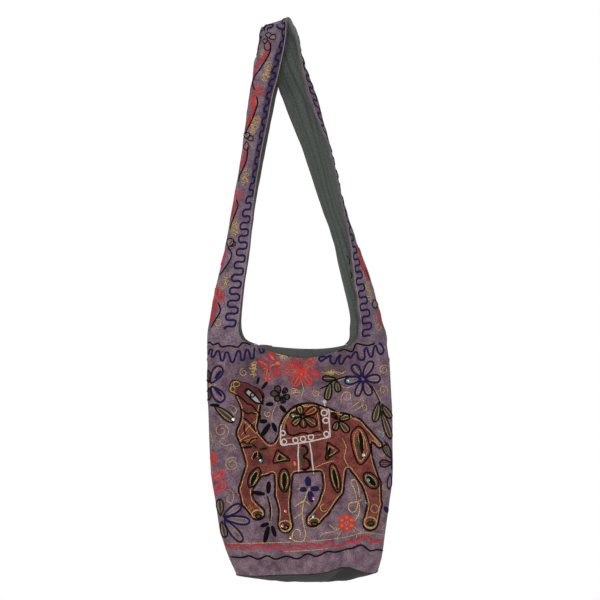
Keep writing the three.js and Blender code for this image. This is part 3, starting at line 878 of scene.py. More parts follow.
# rim edges belong to one cell only
rim = {}
for cell in cells:
    for a, b in zip(cell, cell[1:] + cell[:1]):
        if (b, a) in rim:
            del rim[(b, a)]
        else:
            rim[(a, b)] = True
following = {a: b for a, b in rim}
rimSpots = np.array(sorted(following))


# moves pixels to a wanted distance from the camel's outline
def towardOutline(pixels, wanted, nudge=0.3, flattest=0.3):
    for _ in range(3):
        slopes = []
        for step in ((nudge, 0), (0, nudge)):
            slopes.append(camelDistance(*(pixels + step).T) - camelDistance(*(pixels - step).T))
        slope = np.stack(slopes, -1) / (2 * nudge)
        slope /= np.maximum(np.linalg.norm(slope, axis=1, keepdims=True), flattest)
        pixels = pixels - slope * (camelDistance(*pixels.T) - wanted)[:, None]
    return pixels


spots[rimSpots] = towardOutline(spots[rimSpots], -camel["inset"])
outlines = []
while following:
    loop = [next(iter(following))]
    while loop[-1] in following:
        loop.append(following.pop(loop[-1]))
    if len(loop) > camel["shortest"]:
        outlines.append(spots[loop[:-1]])

flatPlaces, flatNormals = frontSpot(spots)
inside = np.maximum(-camelDistance(*spots.T), 0)
ruckle = camel["ruckle"] * crumple(*spots.T, camel["seed"], camel["shortRuckle"], camel["longRuckle"])
ruckle = ruckle * np.minimum(inside / camel["ruckleOver"], 1)
patchTop = flatPlaces + flatNormals * (patchRise(inside) + ruckle)[:, None]
patchUnder = flatPlaces + flatNormals * camel["lift"]
count = len(spots)
patchFaces = cells + [[i + count for i in reversed(cell)] for cell in cells]
patchFaces += [[b, a, a + count, b + count] for a, b in rim]
# painted shade of the front carried on to the patch; also darker towards the chest, and most on the head
onChest = 1 - smoothStep(spots[:, 0], *camel["chestFade"])
onFace = 1 - smoothStep(spots[:, 0], *camel["headFadeX"])
onFace = onFace * (1 - smoothStep(spots[:, 1], *camel["headFadeY"]))
camelDarkening = camel["soil"] * paintedShadeAt(patchTop) + camel["chestDarker"] * onChest + camel["headDarker"] * onFace
camelPatch = newObject(
    "camel_patch_cloth", np.concatenate([patchTop, patchUnder]), patchFaces, camelCloth,
    uv=np.concatenate([spots, spots]) * photo["mmPerPixel"], soil=camelDarkening,
)
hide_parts("camel_patch")
print("camel cut,", len(cells), "cells,", len(outlines), "outline")

# thread colours: the thread's own, and the darker gap colour each stitch shades off to at its ends as
# painted shade; with the length of a stitch and the width of a cord, mm
threads = {
    "navy": {"thread": dye(24, 14, 80), "gap": dye(9, 5, 38), "stitch": 3.2, "width": 3.1, "sheen": 0.0},
    "black": {
        "thread": dye(9, 7, 8), "gap": dye(3, 2, 3), "stitch": 3.0, "width": 2.4,
        "sheen": 0.0, "gloss": 0.1,
    },
    "green": {
        "thread": dye(17, 20, 14), "gap": dye(6, 8, 6), "stitch": 3.0, "width": 2.6,
        "sheen": 0.0, "gloss": 0.1,
    },
    "red": {"thread": dye(214, 66, 47), "gap": dye(160, 42, 42), "stitch": 2.8, "width": 3.0},
    "orange": {"thread": dye(238, 128, 62), "gap": dye(186, 76, 46), "stitch": 2.4, "width": 1.6},
    "crimson": {"thread": dye(188, 52, 58), "gap": dye(140, 34, 46), "stitch": 3.0, "width": 2.9},
    "pink": {"thread": dye(212, 72, 92), "gap": dye(150, 44, 66), "stitch": 2.8, "width": 3.2},
    "khaki": {"thread": dye(186, 162, 116), "gap": dye(104, 86, 74), "stitch": 3.4, "width": 1.4},
    "olive": {"thread": dye(78, 62, 32), "gap": dye(34, 26, 14), "stitch": 2.4, "width": 1.6},
    "gold": {
        "thread": dye(240, 200, 116), "gap": dye(112, 88, 62), "stitch": 3.0, "width": 0.95,
        "metal": 0.3, "rough": 0.4, "uneven": 0.6,
    },
    "white": {"thread": dye(226, 214, 210), "gap": dye(150, 136, 136), "stitch": 2.6, "width": 2.1},
    "rust": {"thread": dye(190, 116, 62), "gap": dye(92, 48, 30), "stitch": 2.6, "width": 1.6},
    "ash": {"thread": dye(176, 178, 180), "gap": dye(112, 112, 114), "stitch": 2.6, "width": 2.0},
    "cream": {"thread": dye(168, 152, 136), "gap": dye(112, 96, 96), "stitch": 4.0, "width": 1.3},
}
# what is sewn, gathered by ground and colour
spools = {}


def addTo(name, points, faces, along):
    spool = spools.setdefault(name, {"points": [], "faces": [], "along": [], "count": 0})
    spool["points"].append(points)
    spool["faces"] += [[i + spool["count"] for i in face] for face in faces]
    spool["along"].append(along)
    spool["count"] += len(points)


# faces between rings of points; an open row of rings gets two ends
def ringFaces(rings, sides, closed):
    index = np.arange(rings * sides).reshape(rings, sides)
    here = index if closed else index[:-1]
    there = np.roll(index, -1, 0) if closed else index[1:]
    faces = np.stack([here, np.roll(here, -1, 1), np.roll(there, -1, 1), there], -1).reshape(-1, 4).tolist()
    if not closed:
        faces += [index[0][::-1].tolist(), index[-1].tolist()]
    return faces


# a cord is flattened, twisted a little, sunk in the cloth and tapered at its ends
cordForm = {
    "sides": 6, "twist": 3.1, "swell": 0.1, "sink": 0.38, "flat": 0.62, "tallest": 1.6,
    "endShare": 0.5, "endStep": 0.3,
}


def unitRows(rows):
    return rows / np.maximum(np.linalg.norm(rows, axis=1, keepdims=True), 1e-6)


def addCord(name, path, normals, width, height, closed=False):
    count = len(path)
    sides = cordForm["sides"]
    ahead = np.roll(path, -1, 0) - np.roll(path, 1, 0) if closed else np.gradient(path, axis=0)
    ahead = unitRows(ahead)
    side = unitRows(np.cross(normals, ahead))
    up = np.cross(ahead, side)
    run = runAlong(path)
    thick = 1 + cordForm["swell"] * np.sin(run * 2 * math.pi / cordForm["twist"])
    if not closed:
        toEnd = np.minimum(np.arange(count), np.arange(count)[::-1])
        thick = thick * np.minimum(1, cordForm["endShare"] + cordForm["endStep"] * toEnd)
    angle = np.arange(sides) * 2 * math.pi / sides
    height = np.broadcast_to(height, count)
    sideways = np.cos(angle)[None, :, None] * (0.5 * width * thick)[:, None, None]
    raised = np.sin(angle)[None, :, None] * (0.5 * height * thick)[:, None, None]
    core = path + normals * (cordForm["sink"] * height)[:, None]
    rings = core[:, None, :] + side[:, None, :] * sideways + up[:, None, :] * raised
    addTo(name, rings.reshape(-1, 3), ringFaces(count, sides, closed), np.repeat(run, sides))


# smooth curve through points, stepped evenly
def smoothCurve(knots, closed, step, between=12):
    knots = np.asarray(knots, float)
    if closed:
        knots = np.concatenate([knots[-1:], knots, knots[:2]])
        places = np.linspace(1, len(knots) - 2, (len(knots) - 3) * between + 1)[:-1]
    else:
        places = np.linspace(0, len(knots) - 1, (len(knots) - 1) * between + 1)
    fine = np.stack([throughRows(knots[:, i], places) for i in range(2)], -1)
    if closed:
        fine = np.concatenate([fine, fine[:1]])
    run = runAlong(fine)
    count = max(5, int(run[-1] / step) + 1)
    wanted = np.linspace(0, run[-1], count + (1 if closed else 0))
    even = np.stack([np.interp(wanted, run, fine[:, i]) for i in range(2)], -1)
    return even[:-1] if closed else even


# grounds to sew on, drawn in pixels of the photograph, with the step along a cord
frontGround = {"name": "front", "spotOn": onFront, "step": 0.8}
shownStrap = {"name": "strap", "spotOn": onStrapFront, "step": 0.8}
liningGround = {"name": "lining", "spotOn": onLining, "step": 0.8}


def layCord(ground, colour, knots, closed=False, width=None):
    wide = width or threads[colour]["width"]
    path, normals = ground["spotOn"](smoothCurve(knots, closed, ground["step"]))
    tall = min(cordForm["flat"] * wide, cordForm["tallest"])
    addCord(ground["name"] + "_" + colour, path, normals, wide, tall, closed)


# middle line of a petal from root to tip, and its swell to one side
def petalSides(root, tip, width, blunt, count=13):
    root = np.asarray(root, float)
    axis = np.asarray(tip, float) - root
    side = np.array([-axis[1], axis[0]]) / max(np.hypot(*axis), 1e-6)
    u = np.sin(np.linspace(0, 0.5 * math.pi, count))[:, None]
    fullness = u ** blunt
    swell = width * np.sqrt(np.maximum(fullness * (1 - fullness), 0))
    return root + axis * u, side * swell


petalForm = {
    "blunt": 1.6, "veinWidth": 1.0, "veinReach": 0.5, "satin": 0.46, "satinBlunt": 1.5, "satinRise": 0.7,
    "shade": 0.48, "shadeBlunt": 1.3, "shadeRise": 0.4,
}
leafForm = {"rows": 15, "columns": 7, "edge": 0.9, "end": 0.5, "under": 0.3}


def layPetal(ground, colour, root, tip, width, thread=None):
    middle, swell = petalSides(root, tip, width, petalForm["blunt"])
    loop = np.concatenate([middle + swell, (middle - swell)[-2:0:-1]])
    layCord(ground, colour, loop, closed=True, width=thread)


# satin stitch: a low domed leaf of thread
def layLeaf(ground, colour, root, tip, width, blunt=1.2, height=1.0):
    middle, swell = petalSides(root, tip, width, blunt, leafForm["rows"])
    middle = middle[1:-1, None]
    swell = swell[1:-1, None]
    columns = np.linspace(-1, 1, leafForm["columns"])
    flat = middle + swell * columns[None, :, None]
    places, normals = ground["spotOn"](flat.reshape(-1, 2))
    rise = height * (1 - leafForm["edge"] * columns ** 2)[None, :] * np.ones((len(middle), 1))
    rise[[0, -1]] *= leafForm["end"]
    top = (places + normals * rise.reshape(-1, 1)).reshape(len(middle), -1, 3)
    under = (places - normals * leafForm["under"]).reshape(len(middle), -1, 3)
    run = np.linalg.norm(top - top[:1], axis=2).ravel()
    addTo(ground["name"] + "_" + colour, *wall(top, under), np.concatenate([run, run]))


# threads laid lengthwise inside a petal, with cloth showing between them
def layVeins(ground, colour, root, tip, width, count):
    middle, swell = petalSides(root, tip, width, petalForm["blunt"])
    shares = np.linspace(-petalForm["veinReach"], petalForm["veinReach"], count) if count > 1 else [0.0]
    for share in shares:
        layCord(ground, colour, (middle + swell * share)[1:-1], width=petalForm["veinWidth"])


# no threads in the fill means satin stitch; cords named as shaded get a low olive leaf under their threads
def sewPetals(ground, groups, thread=None, shaded=()):
    shade = (petalForm["shadeBlunt"], petalForm["shadeRise"])
    satin = (petalForm["satinBlunt"], petalForm["satinRise"])
    for cord, fill, count, petals in groups:
        for rootX, rootY, tipX, tipY, width in petals:
            ends = ((rootX, rootY), (tipX, tipY))
            if count and cord in shaded:
                layLeaf(ground, "olive", *ends, width * petalForm["shade"], *shade)
            if count:
                layVeins(ground, fill, *ends, width, count)
            elif fill:
                layLeaf(ground, fill, *ends, width * petalForm["satin"], *satin)
            layPetal(ground, cord, *ends, width, thread)


def sewLeaves(ground, groups, blunt=1.2, height=1.0):
    for colour, leaves in groups:
        for rootX, rootY, tipX, tipY, width in leaves:
            layLeaf(ground, colour, (rootX, rootY), (tipX, tipY), width, blunt, height)


def sewLines(ground, groups):
    for colour, lines in groups:
        for knots in lines:
            layCord(ground, colour, knots)


def shifted(knots, right, down):
    return [(x + right, y + down) for x, y in knots]


# loose curls of thread down an upright patch; two waves each way keep any curl from repeating
def scribble(x, y, wide, tall, curls):
    share = np.linspace(-0.5, 0.5, curls * 9)
    angle = 2 * math.pi * curls * share
    reach = 0.5 * wide * (1 - 1.2 * share ** 2)
    sway = 0.75 * np.cos(angle) + 0.45 * np.cos(1.62 * angle + x)
    bob = 0.5 * np.sin(1.13 * angle) + 0.35 * np.sin(2.3 * angle + y)
    return np.stack([x + reach * sway, y + tall * share + 0.8 * reach * bob], -1)


def spiral(x, y, radius, turns, start, inner=0.18):
    share = np.linspace(0, 1, max(10, int(turns * 14)))
    angle = math.radians(start) + turns * 2 * math.pi * share
    reach = radius * (inner + (1 - inner) * share)
    return np.stack([x + reach * np.cos(angle), y + reach * np.sin(angle)], -1)


def ring(x, y, radius, stretch=1.0, tilt=0.0, count=12):
    angle = np.linspace(0, 2 * math.pi, count + 1)[:-1]
    a = radius * np.cos(angle)
    b = radius * stretch * np.sin(angle)
    c = math.cos(math.radians(tilt))
    s = math.sin(math.radians(tilt))
    return np.stack([x + a * c - b * s, y + a * s + b * c], -1)


def frontCord(colour, knots, closed=False, width=None):
    layCord(frontGround, colour, knots, closed, width)


# petals of the front, photograph pixels: cord, fill and threads in the fill, then x and y of root and tip
# and the width of each
frontPetals = [
    # navy flower right of the mouth
    ("navy", "khaki", 2, [
        (363, 377.5, 372, 361.6, 7.4), (365, 378.8, 380, 378.6, 8), (364, 381, 370, 395, 7.8),
        (361.6, 380.8, 356.6, 396, 6), (360.6, 378.8, 345, 381.6, 7.4),
    ]),
    ("navy", "khaki", 1, [(361, 376.4, 353, 365.2, 7.4)]),
    # leaves left of it
    ("green", "khaki", 1, [(335.8, 379, 322.6, 378.2, 5.6)]),
    ("green", "khaki", 2, [(330.4, 382.6, 326.8, 400.2, 7), (336.6, 380.8, 338.4, 392, 6)]),
    # leaves down the right edge
    ("green", "khaki", 2, [
        (379, 402.5, 374.4, 421.6, 7.2), (381.7, 404.7, 391, 418, 6), (381.3, 411, 390.6, 438.7, 6.5),
    ]),
    ("black", "khaki", 1, [(390.5, 458, 384.5, 445, 7)]),
    ("black", "pink", 1, [(391.5, 463.5, 379.6, 463.5, 7)]),
    ("navy", "", 0, [(390, 473.6, 388.8, 488.6, 4.4)]),
    # navy flower on the left edge
    ("navy", "khaki", 2, [(211, 383, 220.8, 366.6, 10), (211.5, 387, 223.2, 401, 10.5)]),
    ("green", "green", 1, [(209, 382.5, 207, 370, 5), (209.5, 388, 208.2, 400, 5)]),
    ("green", "khaki", 2, [(214.5, 405.8, 233.6, 421.6, 8)]),
    # navy flower low on the left
    ("navy", "khaki", 2, [
        (223.5, 516.5, 240.8, 505.2, 8), (224.5, 518, 249.6, 521.6, 8), (224.5, 520, 242.3, 541.2, 8.5),
    ]),
    ("green", "khaki", 2, [(221, 515.5, 219.6, 499.4, 7), (221.8, 521.5, 225.5, 537, 6.5)]),
    # two red flowers under the lip
    ("crimson", "gold", 1, [(275.4, 361, 269, 353.4, 6.4), (269.4, 366.8, 259.2, 360.8, 6.4)]),
    ("red", "gold", 2, [(269.4, 367.2, 267.4, 380.4, 8)]),
    ("crimson", "pink", 1, [(278.2, 365, 277.5, 376, 5.6)]),
    ("red", "khaki", 2, [(300, 371.8, 285, 371, 7.6)]),
    ("crimson", "", 0, [(298.6, 367, 291.8, 358.6, 4.4), (301, 369, 299.6, 360, 4)]),
    ("red", "khaki", 2, [(303.6, 370, 313.4, 359.2, 7)]),
    ("crimson", "pink", 1, [(308, 372.4, 320.6, 374.8, 6.6)]),
    ("red", "orange", 1, [(300, 374.4, 293.8, 385.6, 7.4), (303, 374.6, 310.6, 384.4, 7.2)]),
    # petals on the left edge
    ("red", "red", 0, [(213.6, 464.6, 213.8, 453.4, 6)]),
    ("pink", "red", 1, [(212.6, 479.6, 224, 471.4, 7), (214.4, 491.6, 225.4, 483.4, 7.6)]),
    # dark rosette before the hump
    ("black", "olive", 0, [(280, 392.6, 276.4, 386.2, 5.4)]),
    ("black", "black", 0, [(282.6, 393, 287, 388.8, 4.6)]),
    ("black", "olive", 0, [
        (279.6, 394, 270.8, 393.2, 5.2), (283.6, 395.4, 289.4, 398, 4.6), (280, 396, 275.4, 400.6, 5),
    ]),
    ("green", "green", 0, [(282, 396.4, 283.8, 403, 4.6)]),
]
# filled leaves: colour, then x and y of root and tip and the width of each
frontLeaves = [
    ("black", [
        (274.5, 404, 265.5, 404.4, 4.2), (279.4, 404.8, 286, 412.6, 4.4), (268, 421, 259.4, 421.6, 4.4),
        (271, 422.4, 261.4, 436.4, 5.2), (272, 421.6, 276.4, 432, 4.4),
    ]),
    ("green", [(257, 385, 258.8, 377.2, 3), (261, 390, 267.6, 381.6, 3.4)]),
    ("black", [
        (266.5, 494.5, 252, 492, 4.4), (268, 495, 269, 481, 4.8), (270, 523, 260.4, 526.4, 4.2),
        (269, 524.4, 264.4, 543, 5.2), (271.6, 524.4, 275.6, 537, 4.4),
    ]),
    ("navy", [
        (308.8, 487.6, 307.6, 476.6, 6.4), (309.6, 488.8, 319.4, 488.6, 5.4), (309.4, 490, 312, 502.4, 6.4),
        (307.6, 489.2, 299.8, 489.8, 5.4), (384, 506, 389, 513, 5),
    ]),
    ("black", [(208.6, 405.2, 219.6, 405.2, 3.2)]),
    ("navy", [(214.2, 380, 221, 370.4, 3.4), (213.4, 386.8, 222.4, 396.8, 3)]),
    ("black", [(240.6, 448, 252.4, 447, 2.4)]),
    ("red", [(299.2, 372, 305, 371, 6)]),
    ("orange", [(276.6, 361.6, 279.4, 365, 4.4)]),
]
sewPetals(frontGround, frontPetals, shaded=("black", "green"))
# red and pink petals with threads in them have a second round inside the first
innerRound = {"reach": 0.86, "narrow": 0.56, "thread": 1.3}
innerColours = {"red": "crimson", "crimson": "red", "pink": "red"}
for cord, _, count, petals in frontPetals:
    if cord not in innerColours or not count:
        continue
    for rootX, rootY, tipX, tipY, width in petals:
        tip = (rootX + innerRound["reach"] * (tipX - rootX), rootY + innerRound["reach"] * (tipY - rootY))
        narrow = width * innerRound["narrow"]
        layPetal(frontGround, innerColours[cord], (rootX, rootY), tip, narrow, innerRound["thread"])
sewLeaves(frontGround, frontLeaves)


# makes each turn of a wavy line a round one, as broad as twice the spread
def roundTurns(turns, spread):
    turns = np.asarray(turns, float)
    wide = [turns[0]]
    for before, here, after in zip(turns, turns[1:], turns[2:]):
        toward = np.sign(after[0] - before[0]) * spread
        back = np.sign((before[1] + after[1]) / 2 - here[1]) * spread * 0.7
        wide += [here + (-toward, back), here, here + (toward, back)]
    return np.array(wide + [turns[-1]])


# lines of the front: colour, then turns in photograph pixels
frontLines = [
    ("black", [
        [
            (207.5, 342.8), (210.2, 342.6), (213.4, 344.9), (218.2, 343.1), (221.7, 346.8), (230, 345.7),
            (237.6, 347.2), (241.5, 343.4), (244.6, 342.8), (251, 344.7),
        ],
        [
            (337.6, 351.7), (344.4, 349.5), (351.3, 351.8), (353.9, 348.9), (355.3, 344.9), (357.6, 343.5),
            (365.7, 345.4), (373.1, 344), (374.6, 342.6),
        ],
    ]),
    # stems
    ("black", [
        [(349.8, 375.8), (341, 378), (334.8, 380.6), (328, 385), (320.4, 389)],
        [(371.3, 385), (376, 394), (380.4, 403.4)],
    ]),
    ("green", [[(384, 441), (389, 447), (391, 457), (391.5, 470)]]),
    # centre of the navy flower and tail of the petals on the left edge
    ("gold", [
        [(207.8, 385.6), (212, 385.4), (217.4, 384.4)],
        [(208.4, 381.4), (210.6, 385.4), (213.4, 390)],
        [(208, 390), (210.4, 385.8), (214, 381)],
    ]),
    ("orange", [
        [(212.4, 464), (212.4, 469), (213, 475)],
        [(213.8, 478.4), (217, 477), (220.6, 474.4)],
    ]),
    ("red", [[(212.6, 478), (213.6, 485), (215, 491), (216.6, 496.6)]]),
    # threads of the dark rosette and the red flowers, then loose gold
    ("gold", [[(288.4, 394.4), (283, 396), (279, 399.6), (275.4, 403.4)]]),
    ("red", [[(279, 363), (288.4, 363.9), (294, 365.4), (300, 370)]]),
    ("orange", [
        [(280, 363.4), (288.4, 364.4), (294, 366), (298.6, 369)],
        [(270.6, 356.6), (274, 360), (278.4, 364.4)],
        [(262.8, 369), (269.4, 366.8), (274, 364.4), (278, 363.6)],
        [(278, 362), (278.4, 366), (280, 370)],
        [(297, 371), (301, 371.4), (306, 372)],
        [(301.4, 367), (300.6, 371), (301.8, 376)],
    ]),
    ("red", [[(302, 371.4), (306, 370.8), (310.4, 371.2)]]),
    ("gold", [
        [(277, 402.8), (274.6, 408), (272.4, 414), (271.6, 421)],
        [(229.4, 405), (234, 406.6), (236.6, 410.6), (234, 413.6), (231.4, 410.6)],
        [(322, 371.6), (329, 373.6), (336.6, 372), (344, 373.8)],
        [(324, 374.4), (332, 371.2), (339, 374.2), (346, 371)],
        [
            (341, 404.4), (341.6, 396.4), (344.6, 392.4), (349.6, 393), (350.4, 398), (346, 400.2),
            (343, 397),
        ],
        [(361.4, 394.8), (360, 401), (355.4, 404.4), (350.4, 408)],
        [(361.4, 396), (363.4, 402), (360, 407.4), (354, 410)],
        [(226, 489.6), (231, 490.4), (234, 496), (231.4, 503), (226.6, 500.4), (228.4, 496.4)],
        [(268, 496), (271, 504), (271.8, 513), (270.4, 522)],
    ]),
    ("black", [[(267.4, 496), (270, 506), (270.2, 521)]]),
    ("gold", [
        [(341, 527), (335.4, 529.2), (329, 524.4)],
        [(340.6, 528.4), (333, 531.6), (325, 533), (319.8, 536.4)],
        [(342, 529.4), (338.6, 535), (336.6, 540)],
        [(352, 526), (357.6, 529.4), (363, 533.6)],
        [(351.4, 528), (355.4, 533), (357, 538)],
        [(380, 521), (384, 524.4), (381.6, 528.6), (385.4, 531)],
        [(300.8, 380), (303.4, 389), (301, 397)],
        [(320.4, 390), (328, 386), (335, 381.4), (343, 379), (351, 376.6)],
        [(372.4, 385), (377, 393.6), (381.4, 403)],
        [(210.6, 432), (212.4, 440), (211.6, 448)],
        [(219, 441), (225, 445.6), (232, 444), (236, 449)],
        [(376, 428), (381, 433), (386, 431.4)],
        [(376.6, 452), (382, 456), (386.6, 452.6)],
        [(340, 384.6), (345.6, 388), (352.6, 386)],
        [(309.4, 489.4), (303, 488.6), (297, 489)],
        [(309, 484), (309.4, 492), (311, 500)],
        [(310, 489), (316, 489), (321, 488)],
    ]),
]
sewLines(frontGround, frontLines)
# navy waves below the seam, on the left and then on the right
navyWaves = [
    [(208.6, 355), (211, 349.5), (212.8, 357.1), (218, 351), (222.3, 360.6), (226.9, 352.4), (232.5, 362.2),
     (238.6, 351), (242.4, 360.5), (247.2, 350), (252, 358.7), (254.6, 347.4)],
    [(259, 348), (261.9, 352.9), (264.7, 349.2)],
]
for knots in navyWaves:
    frontCord("navy", roundTurns(knots, spread=1.5))
navyRight = [
    (326, 356.6), (321.4, 356.8), (318.9, 358.8), (321.4, 361.2), (325.2, 358.4), (330.8, 355.4),
    (330, 359.4), (331.8, 363.4), (335, 362.8), (337, 358.4), (340.4, 355), (338.8, 359.8), (340, 363.8),
    (342.8, 363), (345.2, 358.6), (348.4, 356), (350.6, 358), (354.4, 352.8), (357, 352.4),
    (358.2, 358.2), (361.2, 360.2), (364.4, 358.2), (364.5, 350.4), (366.9, 348.4), (369, 355),
    (372, 356.6), (373.6, 348.6), (375.7, 345.8), (378, 352.2), (381, 354.4), (383.6, 350.8), (382, 346),
    (379, 342.8),
]
frontCord("navy", navyRight)
# bolder gold: a plant under the belly, and curls between the hind legs
boldGold = [
    [(305.6, 496), (304, 501), (303, 506), (302.2, 514), (303.6, 524), (305.4, 534), (303.6, 540.4),
     (298, 541.6), (293, 539.6), (292.4, 534), (296, 529.4), (300.4, 531.6), (299.4, 536.4)],
    [(310.4, 505.6), (307, 502.4), (304, 501), (300, 503), (295, 506.4)],
    [(303, 513), (298, 515.6), (294.6, 519)],
    [(309, 488.4), (306.8, 493), (304.4, 499.6), (301.4, 503)],
    [(356.8, 500.4), (354.6, 490), (351, 483), (352.8, 479.6), (356, 481), (358.4, 488), (359.4, 497)],
    [(364, 498), (357.4, 501.6), (350.4, 502.8), (348.2, 507.6), (351.4, 512), (356, 510.4), (357.8, 504),
     (358.4, 500)],
    [(358.6, 501), (359.6, 510), (357.4, 517), (353.4, 521.6)],
]
for knots in boldGold:
    frontCord("gold", knots, width=1.5)
# gold scribbles: x, y, width, height, curls
goldScribbles = [
    (253, 370, 7, 14, 4), (254.4, 366, 5, 9, 3), (283, 356, 6, 5, 3), (295, 391.6, 9, 3, 2),
    (331, 373, 8, 3, 3),
]
for place in goldScribbles:
    frontCord("gold", scribble(*place))

# gold spirals: x, y, radius, turns, start in degrees
goldSpirals = [
    (221.4, 430.6, 8.2, 1.7, 200), (232, 464.4, 7.4, 1.8, 20), (268, 413.8, 3.6, 1.4, 90),
    (383.8, 369.6, 4.8, 1.6, 100), (383.2, 390, 5.4, 1.4, 300), (364, 407, 3.4, 1.3, 0),
    (385.4, 487.4, 4.0, 1.4, 200), (243.6, 372.4, 4.2, 1.4, 120), (285, 355.4, 3.2, 1.2, 0),
    (316.4, 393, 4.0, 1.5, 60),
]
for place in goldSpirals:
    frontCord("gold", spiral(*place))

# small orange flower between the hind legs
orangeFlower = {
    "x": 346.4, "y": 523.0, "petals": 6, "start": 0.5, "reach": 5.6, "petal": 2.304, "middle": 1.5,
    "leafHalf": 1.6, "leafWidth": 3.0,
}
for i in range(orangeFlower["petals"]):
    turn = 2 * math.pi * i / orangeFlower["petals"] + orangeFlower["start"]
    x = orangeFlower["x"] + orangeFlower["reach"] * math.cos(turn)
    y = orangeFlower["y"] + orangeFlower["reach"] * math.sin(turn)
    ends = ((x - orangeFlower["leafHalf"], y), (x + orangeFlower["leafHalf"], y))
    layLeaf(frontGround, "orange", *ends, orangeFlower["leafWidth"])
    frontCord("red", ring(x, y, orangeFlower["petal"], count=8), closed=True)
frontCord("gold", ring(orangeFlower["x"], orangeFlower["y"], orangeFlower["middle"], count=8), closed=True)
print("front flowers sewn")

# cords of the camel: outline, gold line inside it, and the drawing on the patch
outlineCord = {
    "width": 2.6, "thinner": 1.3, "headX": (262, 268), "headY": (398, 412), "rounds": 4, "every": 3,
    "goldInset": 1.9, "goldRounds": 6,
    "gapLeft": 241, "gapRight": 266, "gapX": 240, "gapY": 388, "gapSlope": 0.5,
}


def rounded(loop, times):
    for _ in range(times):
        loop = (np.roll(loop, 1, 0) + 2 * loop + np.roll(loop, -1, 0)) / 4
    return loop


for outline in outlines:
    smooth = rounded(outline, outlineCord["rounds"])
    line = smoothCurve(smooth[::outlineCord["every"]], True, frontGround["step"])
    # thinner round the head
    onHead = 1 - smoothStep(line[:, 0], *outlineCord["headX"])
    onHead = onHead * (1 - smoothStep(line[:, 1], *outlineCord["headY"]))
    wide = outlineCord["width"] - outlineCord["thinner"] * onHead
    addCord("front_black", *onFront(line), wide, cordForm["flat"] * wide, closed=True)
    inner = rounded(towardOutline(smooth, -outlineCord["goldInset"]), outlineCord["goldRounds"])
    # the gold is left out along the top of the head
    x, y = inner.T
    shown = y > outlineCord["gapY"] + outlineCord["gapSlope"] * (x - outlineCord["gapX"])
    shown = shown | (x < outlineCord["gapLeft"]) | (x > outlineCord["gapRight"])
    if shown.all():
        frontCord("gold", inner[::outlineCord["every"]], closed=True)
        continue
    gapEnd = np.flatnonzero(shown & ~np.roll(shown, 1))[0]
    frontCord("gold", np.roll(inner, -gapEnd, 0)[: shown.sum()][::outlineCord["every"]])

